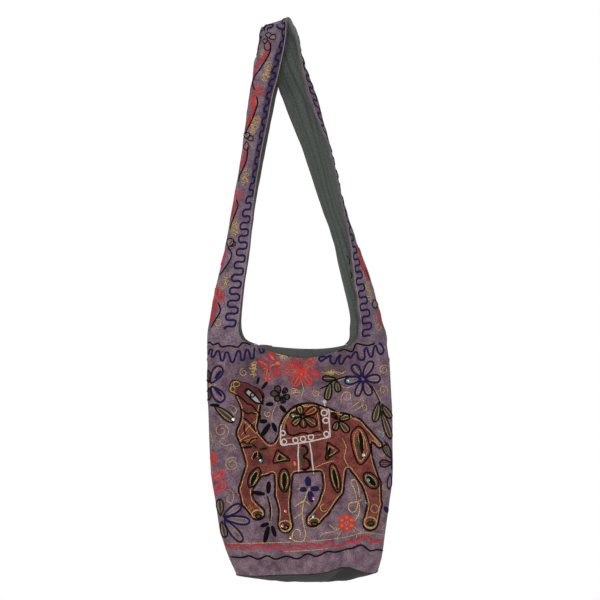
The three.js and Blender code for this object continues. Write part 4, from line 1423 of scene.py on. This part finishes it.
# lines of the camel, as those of the front
camelLines = [
    # eye and muzzle
    ("black", [
        [
            (235.6, 394.4), (239.4, 396.4), (244.4, 400), (248, 403.8), (251.4, 404.8), (254, 407),
            (257, 411.4), (260, 414.6), (260.4, 420),
        ],
        [(242, 409), (245.4, 412), (248.4, 413.6), (252, 412.8), (256, 414)],
        [(258, 390.4), (261.6, 394), (263, 399.4), (262.6, 405)],
    ]),
    # neck, and the foot of the bent foreleg
    ("gold", [
        [(243.4, 411.4), (250, 413.6), (259, 411.4)],
        [(242.4, 419.4), (249, 425.4), (256, 433.6)],
    ]),
    ("black", [[(243.6, 417.6), (250, 422.6), (256.4, 431.4)]]),
    ("gold", [[(256.6, 420), (250.4, 425.6), (241.6, 435)]]),
    ("black", [[(245, 424), (244.6, 429), (246, 434.4)]]),
    ("gold", [[(238.6, 441.4), (244, 438), (250, 434.6)]]),
    ("rust", [
        [(239.6, 442.6), (248, 440), (257.2, 436)],
        [(240.6, 446.8), (249, 443), (257, 438.6)],
        [(245, 443.4), (250.4, 440.4), (256.6, 437.4)],
        [(247.8, 508.6), (250.6, 504.4), (250.8, 509.6), (253, 506.4)],
    ]),
    ("black", [[(240, 444.4), (244, 441.6), (248, 444), (252, 439.4), (257.4, 438.4)]]),
    # saddle
    ("black", [
        [
            (279.6, 430), (282.6, 420), (287.4, 412), (295.4, 405.6), (304, 403.4), (316.8, 404.8),
            (320.4, 414.6), (322.4, 431.4),
        ],
    ]),
    ("gold", [
        [
            (283, 430), (286, 420), (290.4, 413), (297, 408.4), (305, 406.6), (314.6, 407.6), (317.6, 416),
            (319.4, 430),
        ],
    ]),
    ("black", [
        [(286, 424), (287.6, 433.4), (294, 435.2), (302, 432.6), (310, 434), (316, 431.8), (322, 432.4)],
    ]),
    ("gold", [[(285, 438.2), (294, 438), (303, 436), (314, 435.4), (321.6, 434.8)]]),
    # back, tail and rump
    ("gold", [[(322, 409.6), (334, 412), (346, 414), (356.4, 419), (363.4, 425)]]),
    ("black", [
        [
            (357.2, 426), (351.4, 433), (351, 444), (354.4, 456), (359.6, 464.4), (366.4, 459),
            (369.8, 450), (367, 437.4), (362, 428.4), (357.2, 426),
        ],
    ]),
    ("gold", [
        [
            (357.6, 429), (354, 435), (353.8, 444), (356.6, 455), (359.8, 461), (364.6, 456.4),
            (366.8, 450), (364.4, 438.6), (360.6, 431), (357.6, 429),
        ],
        [(362, 424.4), (371, 434), (379, 446.4)],
        [(356.4, 430), (358.6, 441), (361.6, 452)],
        [(360.4, 430), (363, 440), (362.8, 452)],
    ]),
    # girth
    ("white", [
        [(298.4, 443.4), (298.4, 458), (298.6, 472.4)],
        [(309.4, 441.6), (311.4, 456), (313.6, 473.6)],
    ]),
    # saddle chain
    ("white", [
        [
            (281.4, 422.6), (280.8, 432), (281.6, 444.6), (290, 444.2), (298.4, 443.4), (309, 441.4),
            (321.6, 438.8), (330.2, 437),
        ],
        [(324.6, 401.2), (325, 406), (328.4, 410), (329, 423), (330.2, 437)],
    ]),
    # triangles
    ("black", [
        [
            (277, 449.6), (283.6, 454), (289.8, 460.2), (282, 461.6), (273.6, 462.6), (275, 456),
            (277, 449.6),
        ],
    ]),
    ("gold", [[(279, 453.4), (285.6, 458.8), (277, 460.4), (279, 453.4)]]),
    ("black", [
        [
            (327, 441.8), (333, 445.6), (339.2, 451), (332.6, 455), (325.6, 459.8), (326.4, 450),
            (327, 441.8),
        ],
    ]),
    ("gold", [[(329, 446), (335.6, 450.8), (328.4, 455.4), (329, 446)]]),
    # belly lines
    ("gold", [
        [(315, 468), (324, 463.6), (334, 460.6)],
        [(341.6, 438), (345.6, 447), (344, 458), (349, 468)],
    ]),
]
sewLines(frontGround, camelLines)
eyeRim = [
    (245.6, 391), (248, 389.2), (253.4, 393.5), (259, 400.4), (261.2, 403.2), (259.4, 403.8),
    (255.2, 402.4), (250, 397.8), (245.8, 393.2),
]
frontCord("black", eyeRim, closed=True, width=2.6)
frontCord("black", ring(252.3, 395.2, radius=2.0), closed=True, width=2.2)
girthCurl = [
    (301, 446), (306, 446.6), (307.6, 452.4), (303.4, 457), (308, 460), (309.6, 466), (305.6, 469.6),
    (301.6, 468.6),
]
frontCord("black", girthCurl, width=3.6)
# hooves: x, y, size
hooves = [(258.2, 514.8, 5.8), (285, 526, 6.4), (313.8, 522.8, 5.8), (369.5, 522.2, 6.2)]
for x, y, size in hooves:
    frontCord("gold", ring(x, y, size, stretch=0.86), closed=True, width=1.6)
    frontCord("black", ring(x + 0.6, y + 1.2, 0.5 * size, stretch=0.66), closed=True, width=2.4)
    frontCord("olive", scribble(x, y - 0.6, wide=1.1 * size, tall=0.7 * size, curls=3), width=1.8)
    frontCord("gold", scribble(x + 0.5, y + 0.6, wide=size, tall=0.5 * size, curls=2))

# rings of the camel: colour, then x, y, radius, stretch and tilt of each
camelRings = [
    ("gold", [(237, 384, 3.1, 0.8, -20), (232.9, 389.2, 2.7, 0.95, 0)]),
    ("black", [(254.4, 477.4, 10.6, 0.46, -64)]),
    ("gold", [(254.4, 477.4, 7.2, 0.36, -64)]),
    ("black", [(284.4, 480.3, 5.6, 2.1, 0)]),
    ("gold", [(284.4, 480.3, 3.4, 2.4, 0)]),
    ("black", [(334.8, 478, 14.6, 0.33, 78)]),
    ("gold", [(334.8, 478, 11, 0.24, 78)]),
    ("black", [(370.4, 480.4, 9.6, 0.62, 48)]),
    ("gold", [(370.4, 480.4, 6.8, 0.5, 48), (323.8, 507.7, 3.6, 1, 0), (374.1, 508.5, 3.9, 1, 0)]),
    ("white", [
        (324, 412.8, 2.9, 1, 0), (325.8, 420.4, 2.6, 1, 0), (326.2, 434, 2.6, 1, 0),
        (310.9, 437, 2.6, 1, 0), (303, 439, 2.6, 1, 0), (295.4, 440.3, 2.6, 1, 0),
        (284.4, 441.8, 2.6, 1, 0), (283, 433, 2.6, 1, 0), (324.6, 401.6, 1.3, 1, 0),
    ]),
]
for colour, places in camelRings:
    for place in places:
        frontCord(colour, ring(*place), closed=True)

# petals on the camel, laid out as the front ones
camelPetals = [
    ("black", "gold", 2, [(302, 415.2, 298.8, 405.8, 6.4)]),
    ("black", "orange", 2, [(303.6, 415.6, 317.2, 408, 7.6)]),
    ("black", "gold", 1, [(301.2, 416.2, 289.8, 414.6, 5.6)]),
    ("black", "gold", 2, [(301.6, 417.6, 292.8, 425, 6.4)]),
    ("black", "gold", 1, [(302.8, 418.2, 303.8, 427.6, 6.4), (304.4, 417.6, 316, 425, 8.6)]),
    ("black", "khaki", 2, [
        (338.6, 419.4, 349, 416, 6.4), (338.8, 421, 348, 432, 7), (337.2, 421.4, 334, 430, 6.2),
    ]),
    ("black", "black", 0, [(337, 419.4, 332, 413.2, 4.6)]),
    ("olive", "black", 0, [(259.2, 449.2, 267.6, 448, 4)]),
    ("gold", "green", 0, [(257.4, 450.8, 253.4, 459.6, 5)]),
    ("olive", "black", 0, [(259, 450.8, 263, 462.6, 4.6), (257.6, 448.4, 252.6, 443.6, 3.6)]),
]
sewPetals(frontGround, camelPetals, shaded=("black",))
# leaves of the camel: low ones, then high black ones over them
camelLeaves = [
    ("olive", [(234.6, 384.8, 239.4, 383.2, 4.6), (231, 390, 234.8, 388.4, 4.4)]),
    ("orange", [(294.4, 460.4, 295, 466, 2.4)]),
    ("olive", [
        (258.8, 468.4, 249.8, 486.8, 8.4), (284.4, 469, 284.4, 491.6, 9), (331.8, 464.4, 337.8, 491.6, 8.2),
        (364.4, 473.6, 376.4, 487.2, 9.4), (357.6, 428, 361.4, 460, 7), (302, 446, 304, 471, 5),
        (275.6, 459.4, 288, 459.4, 7), (327.4, 446, 331, 457, 8), (281, 527.4, 289.4, 527.4, 6),
        (310.6, 523.8, 317.4, 523.8, 5), (366.6, 523.6, 373, 523.6, 5.4),
    ]),
    ("ash", [(246, 390.2, 260.6, 403.6, 5)]),
]
highLeaves = [
    ("black", [
        (359.6, 429.4, 361.8, 454, 4.4), (257, 470.4, 251.6, 485, 4.6), (284.4, 470.6, 284.4, 490.6, 4.2),
        (332.8, 466.4, 337.2, 490.4, 4.4), (366.4, 475.6, 374.4, 485.8, 5.4), (257, 451.6, 253.8, 459, 3.2),
        (259.4, 451.8, 262.8, 461.8, 3.2), (330.4, 446.4, 327.4, 457.4, 3.2), (280, 454.6, 279, 460.6, 3.2),
    ]),
]
sewLeaves(frontGround, camelLeaves, blunt=1.0, height=0.4)
sewLeaves(frontGround, highLeaves, blunt=1.0, height=1.3)
print("camel sewn")

# border along the bottom of the front: a crimson zigzag with a second row close under it
zigzagTurns = [
    (225, 544.8), (232, 547.6), (238, 545), (247.4, 548), (256.6, 545), (268.4, 548), (277.6, 545.2),
    (286, 549), (295, 546), (303.6, 548), (311.6, 544.2), (320, 547), (329, 543), (339, 546.7),
    (347.6, 541.8), (354, 541.6), (359.7, 539.4), (365.8, 536.2), (372.4, 541.6), (383, 539.8),
]
zigzag = {"upper": -0.5, "upperWidth": 2.6, "lower": 0.8, "lowerWidth": 1.9}
frontCord("crimson", shifted(zigzagTurns, 0, zigzag["upper"]), width=zigzag["upperWidth"])
for colour, first, last in (("red", 0, 6), ("pink", 6, 13), ("red", 13, 19)):
    turns = shifted(zigzagTurns[first:last + 1], 0, zigzag["lower"])
    frontCord(colour, turns, width=zigzag["lowerWidth"])
borderGold = [
    [(226, 543), (245, 543.4), (268, 542.8), (292, 542)],
    [(300, 541.4), (320, 540.4), (345, 537.2), (365, 532.6), (384, 535)],
    [(283, 551.4), (305, 550.6), (328, 548.6)],
]
sewLines(frontGround, [("gold", borderGold)])
frontCord("cream", [(230, 550.4), (243, 551), (258, 551)], width=0.9)
bottomWave = [
    (230.7, 556.6), (241.5, 557.4), (249.6, 555.8), (258, 559), (267, 555.8), (276, 559), (286.6, 556.2),
    (297.8, 558.7), (307, 553.8), (316.6, 556.2), (326.8, 551.6), (335.7, 552), (346.4, 549), (353, 548),
    (361.4, 545), (369.7, 550.6), (377, 549.6), (383, 550.6),
]
frontCord("black", bottomWave, width=2.5)

# the same borders carried round the back: across the panel and below the seam, both mm
back = {"half": 140, "reach": 130, "edge": 0.985}


def panelSpot(face, across, below):
    faces = np.full(across.shape, face)
    normal = pouchNormal(faces, across, below)
    return pouchPoint(faces, across, below) + normal * (pouch["wall"] + 2 * pouch["crumple"]), normal


def onBack(spots):
    across = np.clip(spots[:, 0] / back["half"], -back["edge"], back["edge"])
    return panelSpot(1.0, across, spots[:, 1])


backGround = {"name": "back", "spotOn": onBack, "step": 1.6}
# waves of the back: colour, below, swing, period, width
backWaves = [
    ("crimson", 329, 2.4, 30, 2.9),
    ("orange", 323, 1.6, 30, 1.5),
    ("orange", 335, 1.6, 30, 1.5),
    ("black", 345, 2.2, 28, 2.4),
    ("navy", 28, 7.0, 20, 3.1),
    ("black", 14, 2.0, 24, 2.4),
]
for colour, below, swing, period, width in backWaves:
    across = np.arange(-back["reach"], back["reach"] + 1, period / 2)
    turns = [(x, below + swing * (1 if i % 2 else -1)) for i, x in enumerate(across)]
    layCord(backGround, colour, turns, width=width)

# red stitches along the lip of the back, seen over the front's
lip = {
    "left": -0.27, "right": -0.18, "count": 9, "below": 1.0, "shift": (0, -1.6, 1.4),
    "width": 2.0, "height": 1.4,
}
lipAcross = np.linspace(lip["left"], lip["right"], lip["count"])
lipPlaces, lipNormals = panelSpot(1.0, lipAcross, lipBelow(np.ones(lip["count"]), lipAcross) + lip["below"])
addCord("back_crimson", lipPlaces + lip["shift"], lipNormals, lip["width"], lip["height"])
print("borders sewn")

# strap: along the fold line and across it, both mm; front half is minus
strapWork = {
    "edge": 0.985, "margin": 25.0, "endMargin": 11.0, "hem": 49.0, "hemStep": 12,
    "meander": 40.0, "swing": 7.4, "period": 20.6, "squeeze": 0.55, "squeezeShift": 1.5,
    "rollOver": (50, 80), "rollFade": (170, 200), "rollSwing": 0.35, "rollShift": 6.5,
    "lowOver": (300, 340), "lowSkew": 1.2,
}


def onStrap(spots):
    place = np.interp(spots[:, 0], foldRun, finePlaces)
    half = throughRows(strapStations[:, 2], place)
    across = np.clip(spots[:, 1] / half, -strapWork["edge"], strapWork["edge"])
    normal = strapNormal(place, across)
    lift = strap["wall"] + strapRipple(spots[:, 0], across * strap["half"])
    return strapPoint(place, across) + normal * lift[:, None], normal


strapGround = {"name": "strap", "spotOn": onStrap, "step": 1.4}
# one bend of the square-shouldered meander along both edges: share of a period, side
meanderTurn = [
    (0.0, -1.0), (0.15, -0.93), (0.25, -0.6), (0.26, -0.15), (0.24, 0.15), (0.25, 0.6), (0.35, 0.93),
    (0.5, 1.0), (0.65, 0.93), (0.75, 0.6), (0.76, 0.15), (0.74, -0.15), (0.75, -0.6), (0.85, -0.93),
]


# along the front edge it is squeezed where the hem is turned, broader past the crown and skewed lower down
def meanderSpot(at, side, edge):
    if edge > 0:
        return at, strapWork["meander"] + side * strapWork["swing"]
    past = at - crownRun
    squeezed = hemTurned(at)
    rolled = smoothStep(past, *strapWork["rollOver"]) * (1 - smoothStep(past, *strapWork["rollFade"]))
    lowered = smoothStep(past, *strapWork["lowOver"])
    middle = strapWork["meander"] + strapWork["squeezeShift"] * squeezed - strapWork["rollShift"] * rolled
    swing = strapWork["swing"] * (1 - strapWork["squeeze"] * squeezed + strapWork["rollSwing"] * rolled)
    return at + strapWork["lowSkew"] * lowered * side, -(middle + side * swing)


room = strapLength - strapWork["margin"] - strapWork["endMargin"]
count = int(room / strapWork["period"])
hemRun = np.arange(strapWork["hemStep"], strapLength - strapWork["hemStep"], strapWork["hemStep"])
for edge in (-1, 1):
    turns = []
    for i in range(count):
        for share, side in meanderTurn:
            turns.append(meanderSpot(strapWork["margin"] + (i + share) * room / count, side, edge))
    layCord(strapGround, "navy", turns)
    layCord(strapGround, "cream", [(at, edge * strapWork["hem"]) for at in hemRun])

# vine over the crown and down the right side, with a flower or a trefoil every so often
vine = {
    "across": 16.0, "swing": 4.0, "every": 82.0, "start": 20, "stop": 200, "step": 10.0,
    "firstFlower": 60, "lastFlower": 260, "leafAlong": 14, "leafAcross": 8, "leafWidth": 5.5, "curl": 4.5,
}
vineFlowers = [
    {"cord": "red", "fill": "orange", "threads": 1, "angles": range(0, 360, 60),
     "along": 14.5, "across": 12.0, "root": 0.2, "width": 8.5},
    {"cord": "black", "fill": "khaki", "threads": 2, "angles": (-62, 0, 62),
     "along": 17.0, "across": 15.0, "root": 0.0, "width": 9.0},
]
# leaves after each flower: mm along, side
vineLeaves = [(26, 1), (44, -1), (58, 1)]
# curls: mm along and across, turns, degrees turned from flower to flower
vineCurls = [(36, -9, 1.6, 40), (58, 8, 1.7, 70)]


def vineAt(along):
    return vine["across"] + vine["swing"] * np.sin(along * math.pi / vine["every"])


vineRun = np.arange(crownRun + vine["start"], strapLength - vine["stop"], vine["step"])
layCord(strapGround, "black", np.stack([vineRun, vineAt(vineRun)], -1))
flowerRun = np.arange(crownRun + vine["firstFlower"], strapLength - vine["lastFlower"], vine["every"])
for i, at in enumerate(flowerRun):
    middle = vineAt(at)
    flower = vineFlowers[i % 2]
    petals = []
    for angle in flower["angles"]:
        outAlong = flower["along"] * math.cos(math.radians(angle))
        outAcross = flower["across"] * math.sin(math.radians(angle))
        root = (at + flower["root"] * outAlong, middle + flower["root"] * outAcross)
        petals.append((*root, at + outAlong, middle + outAcross, flower["width"]))
    sewPetals(strapGround, [(flower["cord"], flower["fill"], flower["threads"], petals)])
    for ahead, side in vineLeaves:
        foot = (at + ahead, vineAt(at + ahead))
        tip = (foot[0] + vine["leafAlong"], foot[1] + side * vine["leafAcross"])
        layLeaf(strapGround, "red", foot, tip, vine["leafWidth"])
    for ahead, aside, turns, turned in vineCurls:
        curl = spiral(at + ahead, vine["across"] + aside, vine["curl"], turns, turned * i)
        layCord(strapGround, "gold", curl)

# the rest as the photograph shows it, in its pixels; tables as those of the front
shownPetals = [
    ("black", "gold", 1, [
        (268.4, 38, 268.6, 32.8, 5.4), (269.4, 38.4, 276, 36.2, 5.4), (267.4, 39.2, 263.4, 42.6, 4.6),
    ]),
    ("black", "red", 2, [(268, 40.2, 267.2, 50.4, 6)]),
    ("red", "orange", 1, [(255.6, 93, 264, 90.6, 9)]),
    ("red", "", 0, [(255.2, 92.4, 258, 84.6, 6), (253.8, 93, 250.8, 88.4, 5)]),
    ("red", "red", 0, [(254.2, 95, 253, 106.4, 7.5)]),
    ("black", "gold", 2, [(246.8, 138.6, 246.6, 132.4, 6)]),
    ("black", "gold", 1, [(247.8, 139.6, 253, 137.6, 5.5)]),
    ("black", "red", 2, [(246.8, 141.6, 246.4, 150, 5.5)]),
    ("red", "", 0, [(236.8, 198.6, 242.6, 193.2, 8)]),
    ("red", "orange", 1, [(236.4, 198, 236.8, 190.4, 5.5)]),
    ("black", "gold", 2, [(229, 247, 231.4, 238.6, 7.4)]),
    ("black", "olive", 0, [(231.4, 246.4, 234.8, 241.6, 5)]),
    ("red", "crimson", 0, [
        (217, 296, 218.4, 287.6, 6.5), (217.6, 297.2, 224, 297.6, 7), (216.4, 298.4, 214.4, 306, 6),
    ]),
    ("black", "gold", 1, [(374, 299.6, 375.6, 308, 5.6)]),
]
sewPetals(shownStrap, shownPetals, thread=1.7)
shownLines = [
    ("black", [
        [
            (270.8, 43), (270.4, 50.6), (267.3, 57.5), (261.2, 67.4), (254.7, 76.6), (252.8, 83.5),
            (254.7, 90.4),
        ],
        [(256.6, 96.5), (257.8, 102.6), (256.2, 108.8), (252, 120.2), (246.7, 130.2), (245.8, 135)],
        [(247.9, 146.7), (246.9, 158.8), (243.5, 168), (239.9, 175.5), (238.8, 182)],
        [(236.5, 199.6), (238.2, 205), (236.5, 211), (231.8, 223), (230.6, 229)],
        [(228, 247.4), (231.5, 252.7), (230.8, 258.8), (225.5, 267.5), (219.6, 275.5)],
        [(218, 302.3), (220, 307), (220, 312.3), (216, 319), (211.4, 327.4)],
    ]),
    ("navy", [
        [
            (264.6, 30.8), (265.6, 26.8), (269.8, 24.6), (273.6, 25.2), (271.8, 27.4), (268.2, 28.2),
            (267.6, 31.4),
        ],
        [(277.2, 24.2), (277.8, 27.4), (281.2, 28.9), (284.8, 28), (286, 24.4)],
    ]),
    ("black", [[(364.6, 268), (367, 274), (369.4, 281)]]),
    ("gold", [[(358, 254), (361, 259), (359, 264), (362.6, 270)]]),
    ("pink", [
        [(226.8, 250), (224, 260), (221, 269.5)],
        [(225.4, 250.6), (222.8, 260), (220.2, 268)],
    ]),
]
sewLines(shownStrap, shownLines)
liningSquiggles = [
    [(347, 255.6), (349.4, 258.6), (349.8, 262), (348.8, 265)],
    [(350.4, 271.6), (352, 275), (351.2, 278.4)],
]
for knots in liningSquiggles:
    layCord(liningGround, "black", knots, width=1.8)
# broad red leaves along the vine, each of three cords side by side: colour, shift in pixels
bandCords = [("crimson", -0.8), ("red", 0.3), ("crimson", 1.2)]
bandForm = {"slope": 0.6, "width": 1.6}
redBands = [
    [(268.1, 50.6), (263.5, 57.5), (257.4, 64.4), (254.9, 70.5), (253.8, 75.5)],
    [(254.6, 104), (252.6, 111.8), (249.5, 118.7), (246.6, 128.4)],
    [(246.5, 150), (243.5, 160.8), (240.6, 169.5)],
    [(235.8, 201), (234.8, 206), (233.4, 213.5), (231.4, 221)],
    [(215.6, 304.3), (214.4, 311), (212.4, 317), (211, 324)],
    [(357, 245), (359.8, 253), (362, 263), (365, 273), (368.4, 281)],
    [(358.4, 256), (360.4, 264), (363.4, 271)],
    [(377, 310), (378.8, 317), (380.4, 324)],
]
for knots in redBands:
    for colour, shift in bandCords:
        beside = shifted(knots, shift, bandForm["slope"] * shift)
        layCord(shownStrap, colour, beside, width=bandForm["width"])
# gold curls: x, y, radius, turns; then scribbles: x, y, width, height, curls
shownCurls = [
    (269.2, 67, 5.4, 1.7), (221.8, 283.9, 5.4, 2.2), (227.6, 274.8, 3.6, 1.3), (218, 323, 4.2, 1.8),
    (379, 327.4, 3.6, 1.6),
]
shownScribbles = [
    (264.6, 77, 6, 9, 4), (254, 124, 6, 15, 6), (245.4, 175, 6, 14, 5), (234.4, 229, 7, 16, 6),
    (261.6, 53, 3.6, 9, 4), (367.2, 286, 5, 9, 4), (369.4, 295, 5, 12, 4), (258.6, 120, 4, 8, 4),
    (232.6, 222, 4, 9, 4), (267.8, 71, 5, 12, 5), (252.4, 129, 5, 10, 4), (243.4, 181, 4, 10, 4),
    (236.4, 227, 3.6, 12, 5), (226, 281, 4, 8, 3),
]
for place in shownCurls:
    layCord(shownStrap, "gold", spiral(*place, start=60))
for place in shownScribbles:
    layCord(shownStrap, "gold", scribble(*place))
print("strap sewn")

for name, spool in spools.items():
    colour = name.split("_")[1]
    material = bpy.data.materials.get("thread_" + colour)
    if material is None:
        material = threadMaterial("thread_" + colour, threads[colour])
    points = np.concatenate(spool["points"])
    along = np.concatenate(spool["along"])
    newObject(name + "_thread", points, spool["faces"], material, along=along, angle=80.0)
    print(name, len(spool["faces"]), "faces")

# sequins: small dished discs with a hole; x and y in photograph pixels
sequin = {
    "radius": 2.5, "hole": 0.55, "dish": 0.5, "thick": 0.35, "lift": 1.2, "sides": 16,
    "bendAt": 1.5, "bendRise": 0.175, "metal": 0.7, "rough": 0.22,
}
sequinColours = {
    "cyan": dye(96, 170, 178), "rose": dye(196, 110, 140),
    "brass": dye(190, 150, 80), "pearl": dye(226, 220, 214),
}
sequinSpots = {
    "cyan": [
        (293.3, 415.5), (261.4, 461.4), (313.3, 515.6), (365.5, 502), (367.2, 480), (382, 435.2),
        (347.6, 381.4),
    ],
    "rose": [(286, 511), (283, 525.5), (313.7, 498)],
    "brass": [(290.8, 537.5)],
    "pearl": [(233.9, 419.2), (362.5, 455)],
}
# section of a sequin, out from its middle and up: under side, then top
underSide = np.array([
    (sequin["hole"], 0.0), (sequin["bendAt"], sequin["bendRise"]), (sequin["radius"], sequin["dish"]),
])
section = np.concatenate([underSide, underSide[::-1] + (0, sequin["thick"])])
turn = np.arange(sequin["sides"])[:, None] * 2 * math.pi / sequin["sides"]
discFaces = ringFaces(len(section), sequin["sides"], closed=True)
for colour, tint in sequinColours.items():
    material, _, _, shader = startMaterial("sequin_" + colour)
    setInputs(shader, {"Base Color": tint, "Metallic": sequin["metal"], "Roughness": sequin["rough"]})
    discs = []
    faces = []
    for place, normal in zip(*onFront(sequinSpots[colour])):
        up = normal / np.linalg.norm(normal)
        right = np.cross((0, 0, 1.0), up)
        right /= np.linalg.norm(right)
        around = right * np.cos(turn) + np.cross(up, right) * np.sin(turn)
        disc = place + up * sequin["lift"] + around[None] * section[:, :1, None] + up * section[:, 1:, None]
        start = len(discs) * len(section) * sequin["sides"]
        faces += [[i + start for i in face] for face in discFaces]
        discs.append(disc.reshape(-1, 3))
    newObject("sequins_" + colour, np.concatenate(discs), faces, material, angle=40.0)
print("sequins sewn")

# white studio: bright backdrop for the camera, even light from all round, and four soft lights
studio = {"around": 0.42, "aim": (0.04, 0, -0.5)}
world = bpy.data.worlds.new("studio")
scene.world = world
world.use_nodes = True
skyNodes = world.node_tree.nodes
skyLinks = world.node_tree.links
shine = skyNodes["Background"]
setInputs(shine, {"Color": (1, 1, 1, 1), "Strength": studio["around"]})
backdrop = skyNodes.new("ShaderNodeBackground")
setInputs(backdrop, {"Color": (1, 1, 1, 1)})
seen = skyNodes.new("ShaderNodeLightPath")
either = skyNodes.new("ShaderNodeMixShader")
skyLinks.new(seen.outputs["Is Camera Ray"], either.inputs["Fac"])
skyLinks.new(shine.outputs[0], either.inputs[1])
skyLinks.new(backdrop.outputs[0], either.inputs[2])
skyLinks.new(either.outputs[0], skyNodes["World Output"].inputs["Surface"])

# soft lights: name, place, power, size
softLights = [
    ("key", (-1.1, -1.7, 0.7), 9.6, 1.2),
    ("fill", (1.6, -1.4, -0.2), 5.0, 2.0),
    ("front", (0.0, -2.3, -0.3), 18.0, 0.8),
    ("back", (0.3, 2.4, 0.5), 14.0, 1.4),
]
for name, place, power, size in softLights:
    lightData = bpy.data.lights.new(name, "AREA")
    lightData.energy = power
    lightData.size = size
    lamp = bpy.data.objects.new(name, lightData)
    lamp.location = place
    aim = Vector(studio["aim"]) - Vector(place)
    lamp.rotation_euler = aim.to_track_quat("-Z", "Y").to_euler()
    lamp.visible_camera = False
    scene.collection.objects.link(lamp)

# pale round floor below the hanging bag
floor = {"x": 0.04, "z": -1.15, "radius": 0.85, "thick": 0.01, "around": 72}
floorMaterial, _, _, shader = startMaterial("paleFloor")
setInputs(shader, {"Base Color": (0.86, 0.86, 0.86, 1), "Roughness": 0.9})
count = floor["around"]
turn = np.arange(count) * 2 * math.pi / count
floorRim = np.stack([floor["x"] + floor["radius"] * np.cos(turn), floor["radius"] * np.sin(turn)], -1)
points = [(x, y, floor["z"]) for x, y in floorRim]
points += [(x, y, floor["z"] - floor["thick"]) for x, y in floorRim]
faces = [list(range(count)), list(range(2 * count - 1, count - 1, -1))]
faces += [[i, i + count, (i + 1) % count + count, (i + 1) % count] for i in range(count)]
floorMesh = bpy.data.meshes.new("pale_floor")
floorMesh.from_pydata(points, [], faces)
floorMesh.materials.append(floorMaterial)
floorObject = bpy.data.objects.new("pale_floor", floorMesh)
scene.collection.objects.link(floorObject)
print("studio set")
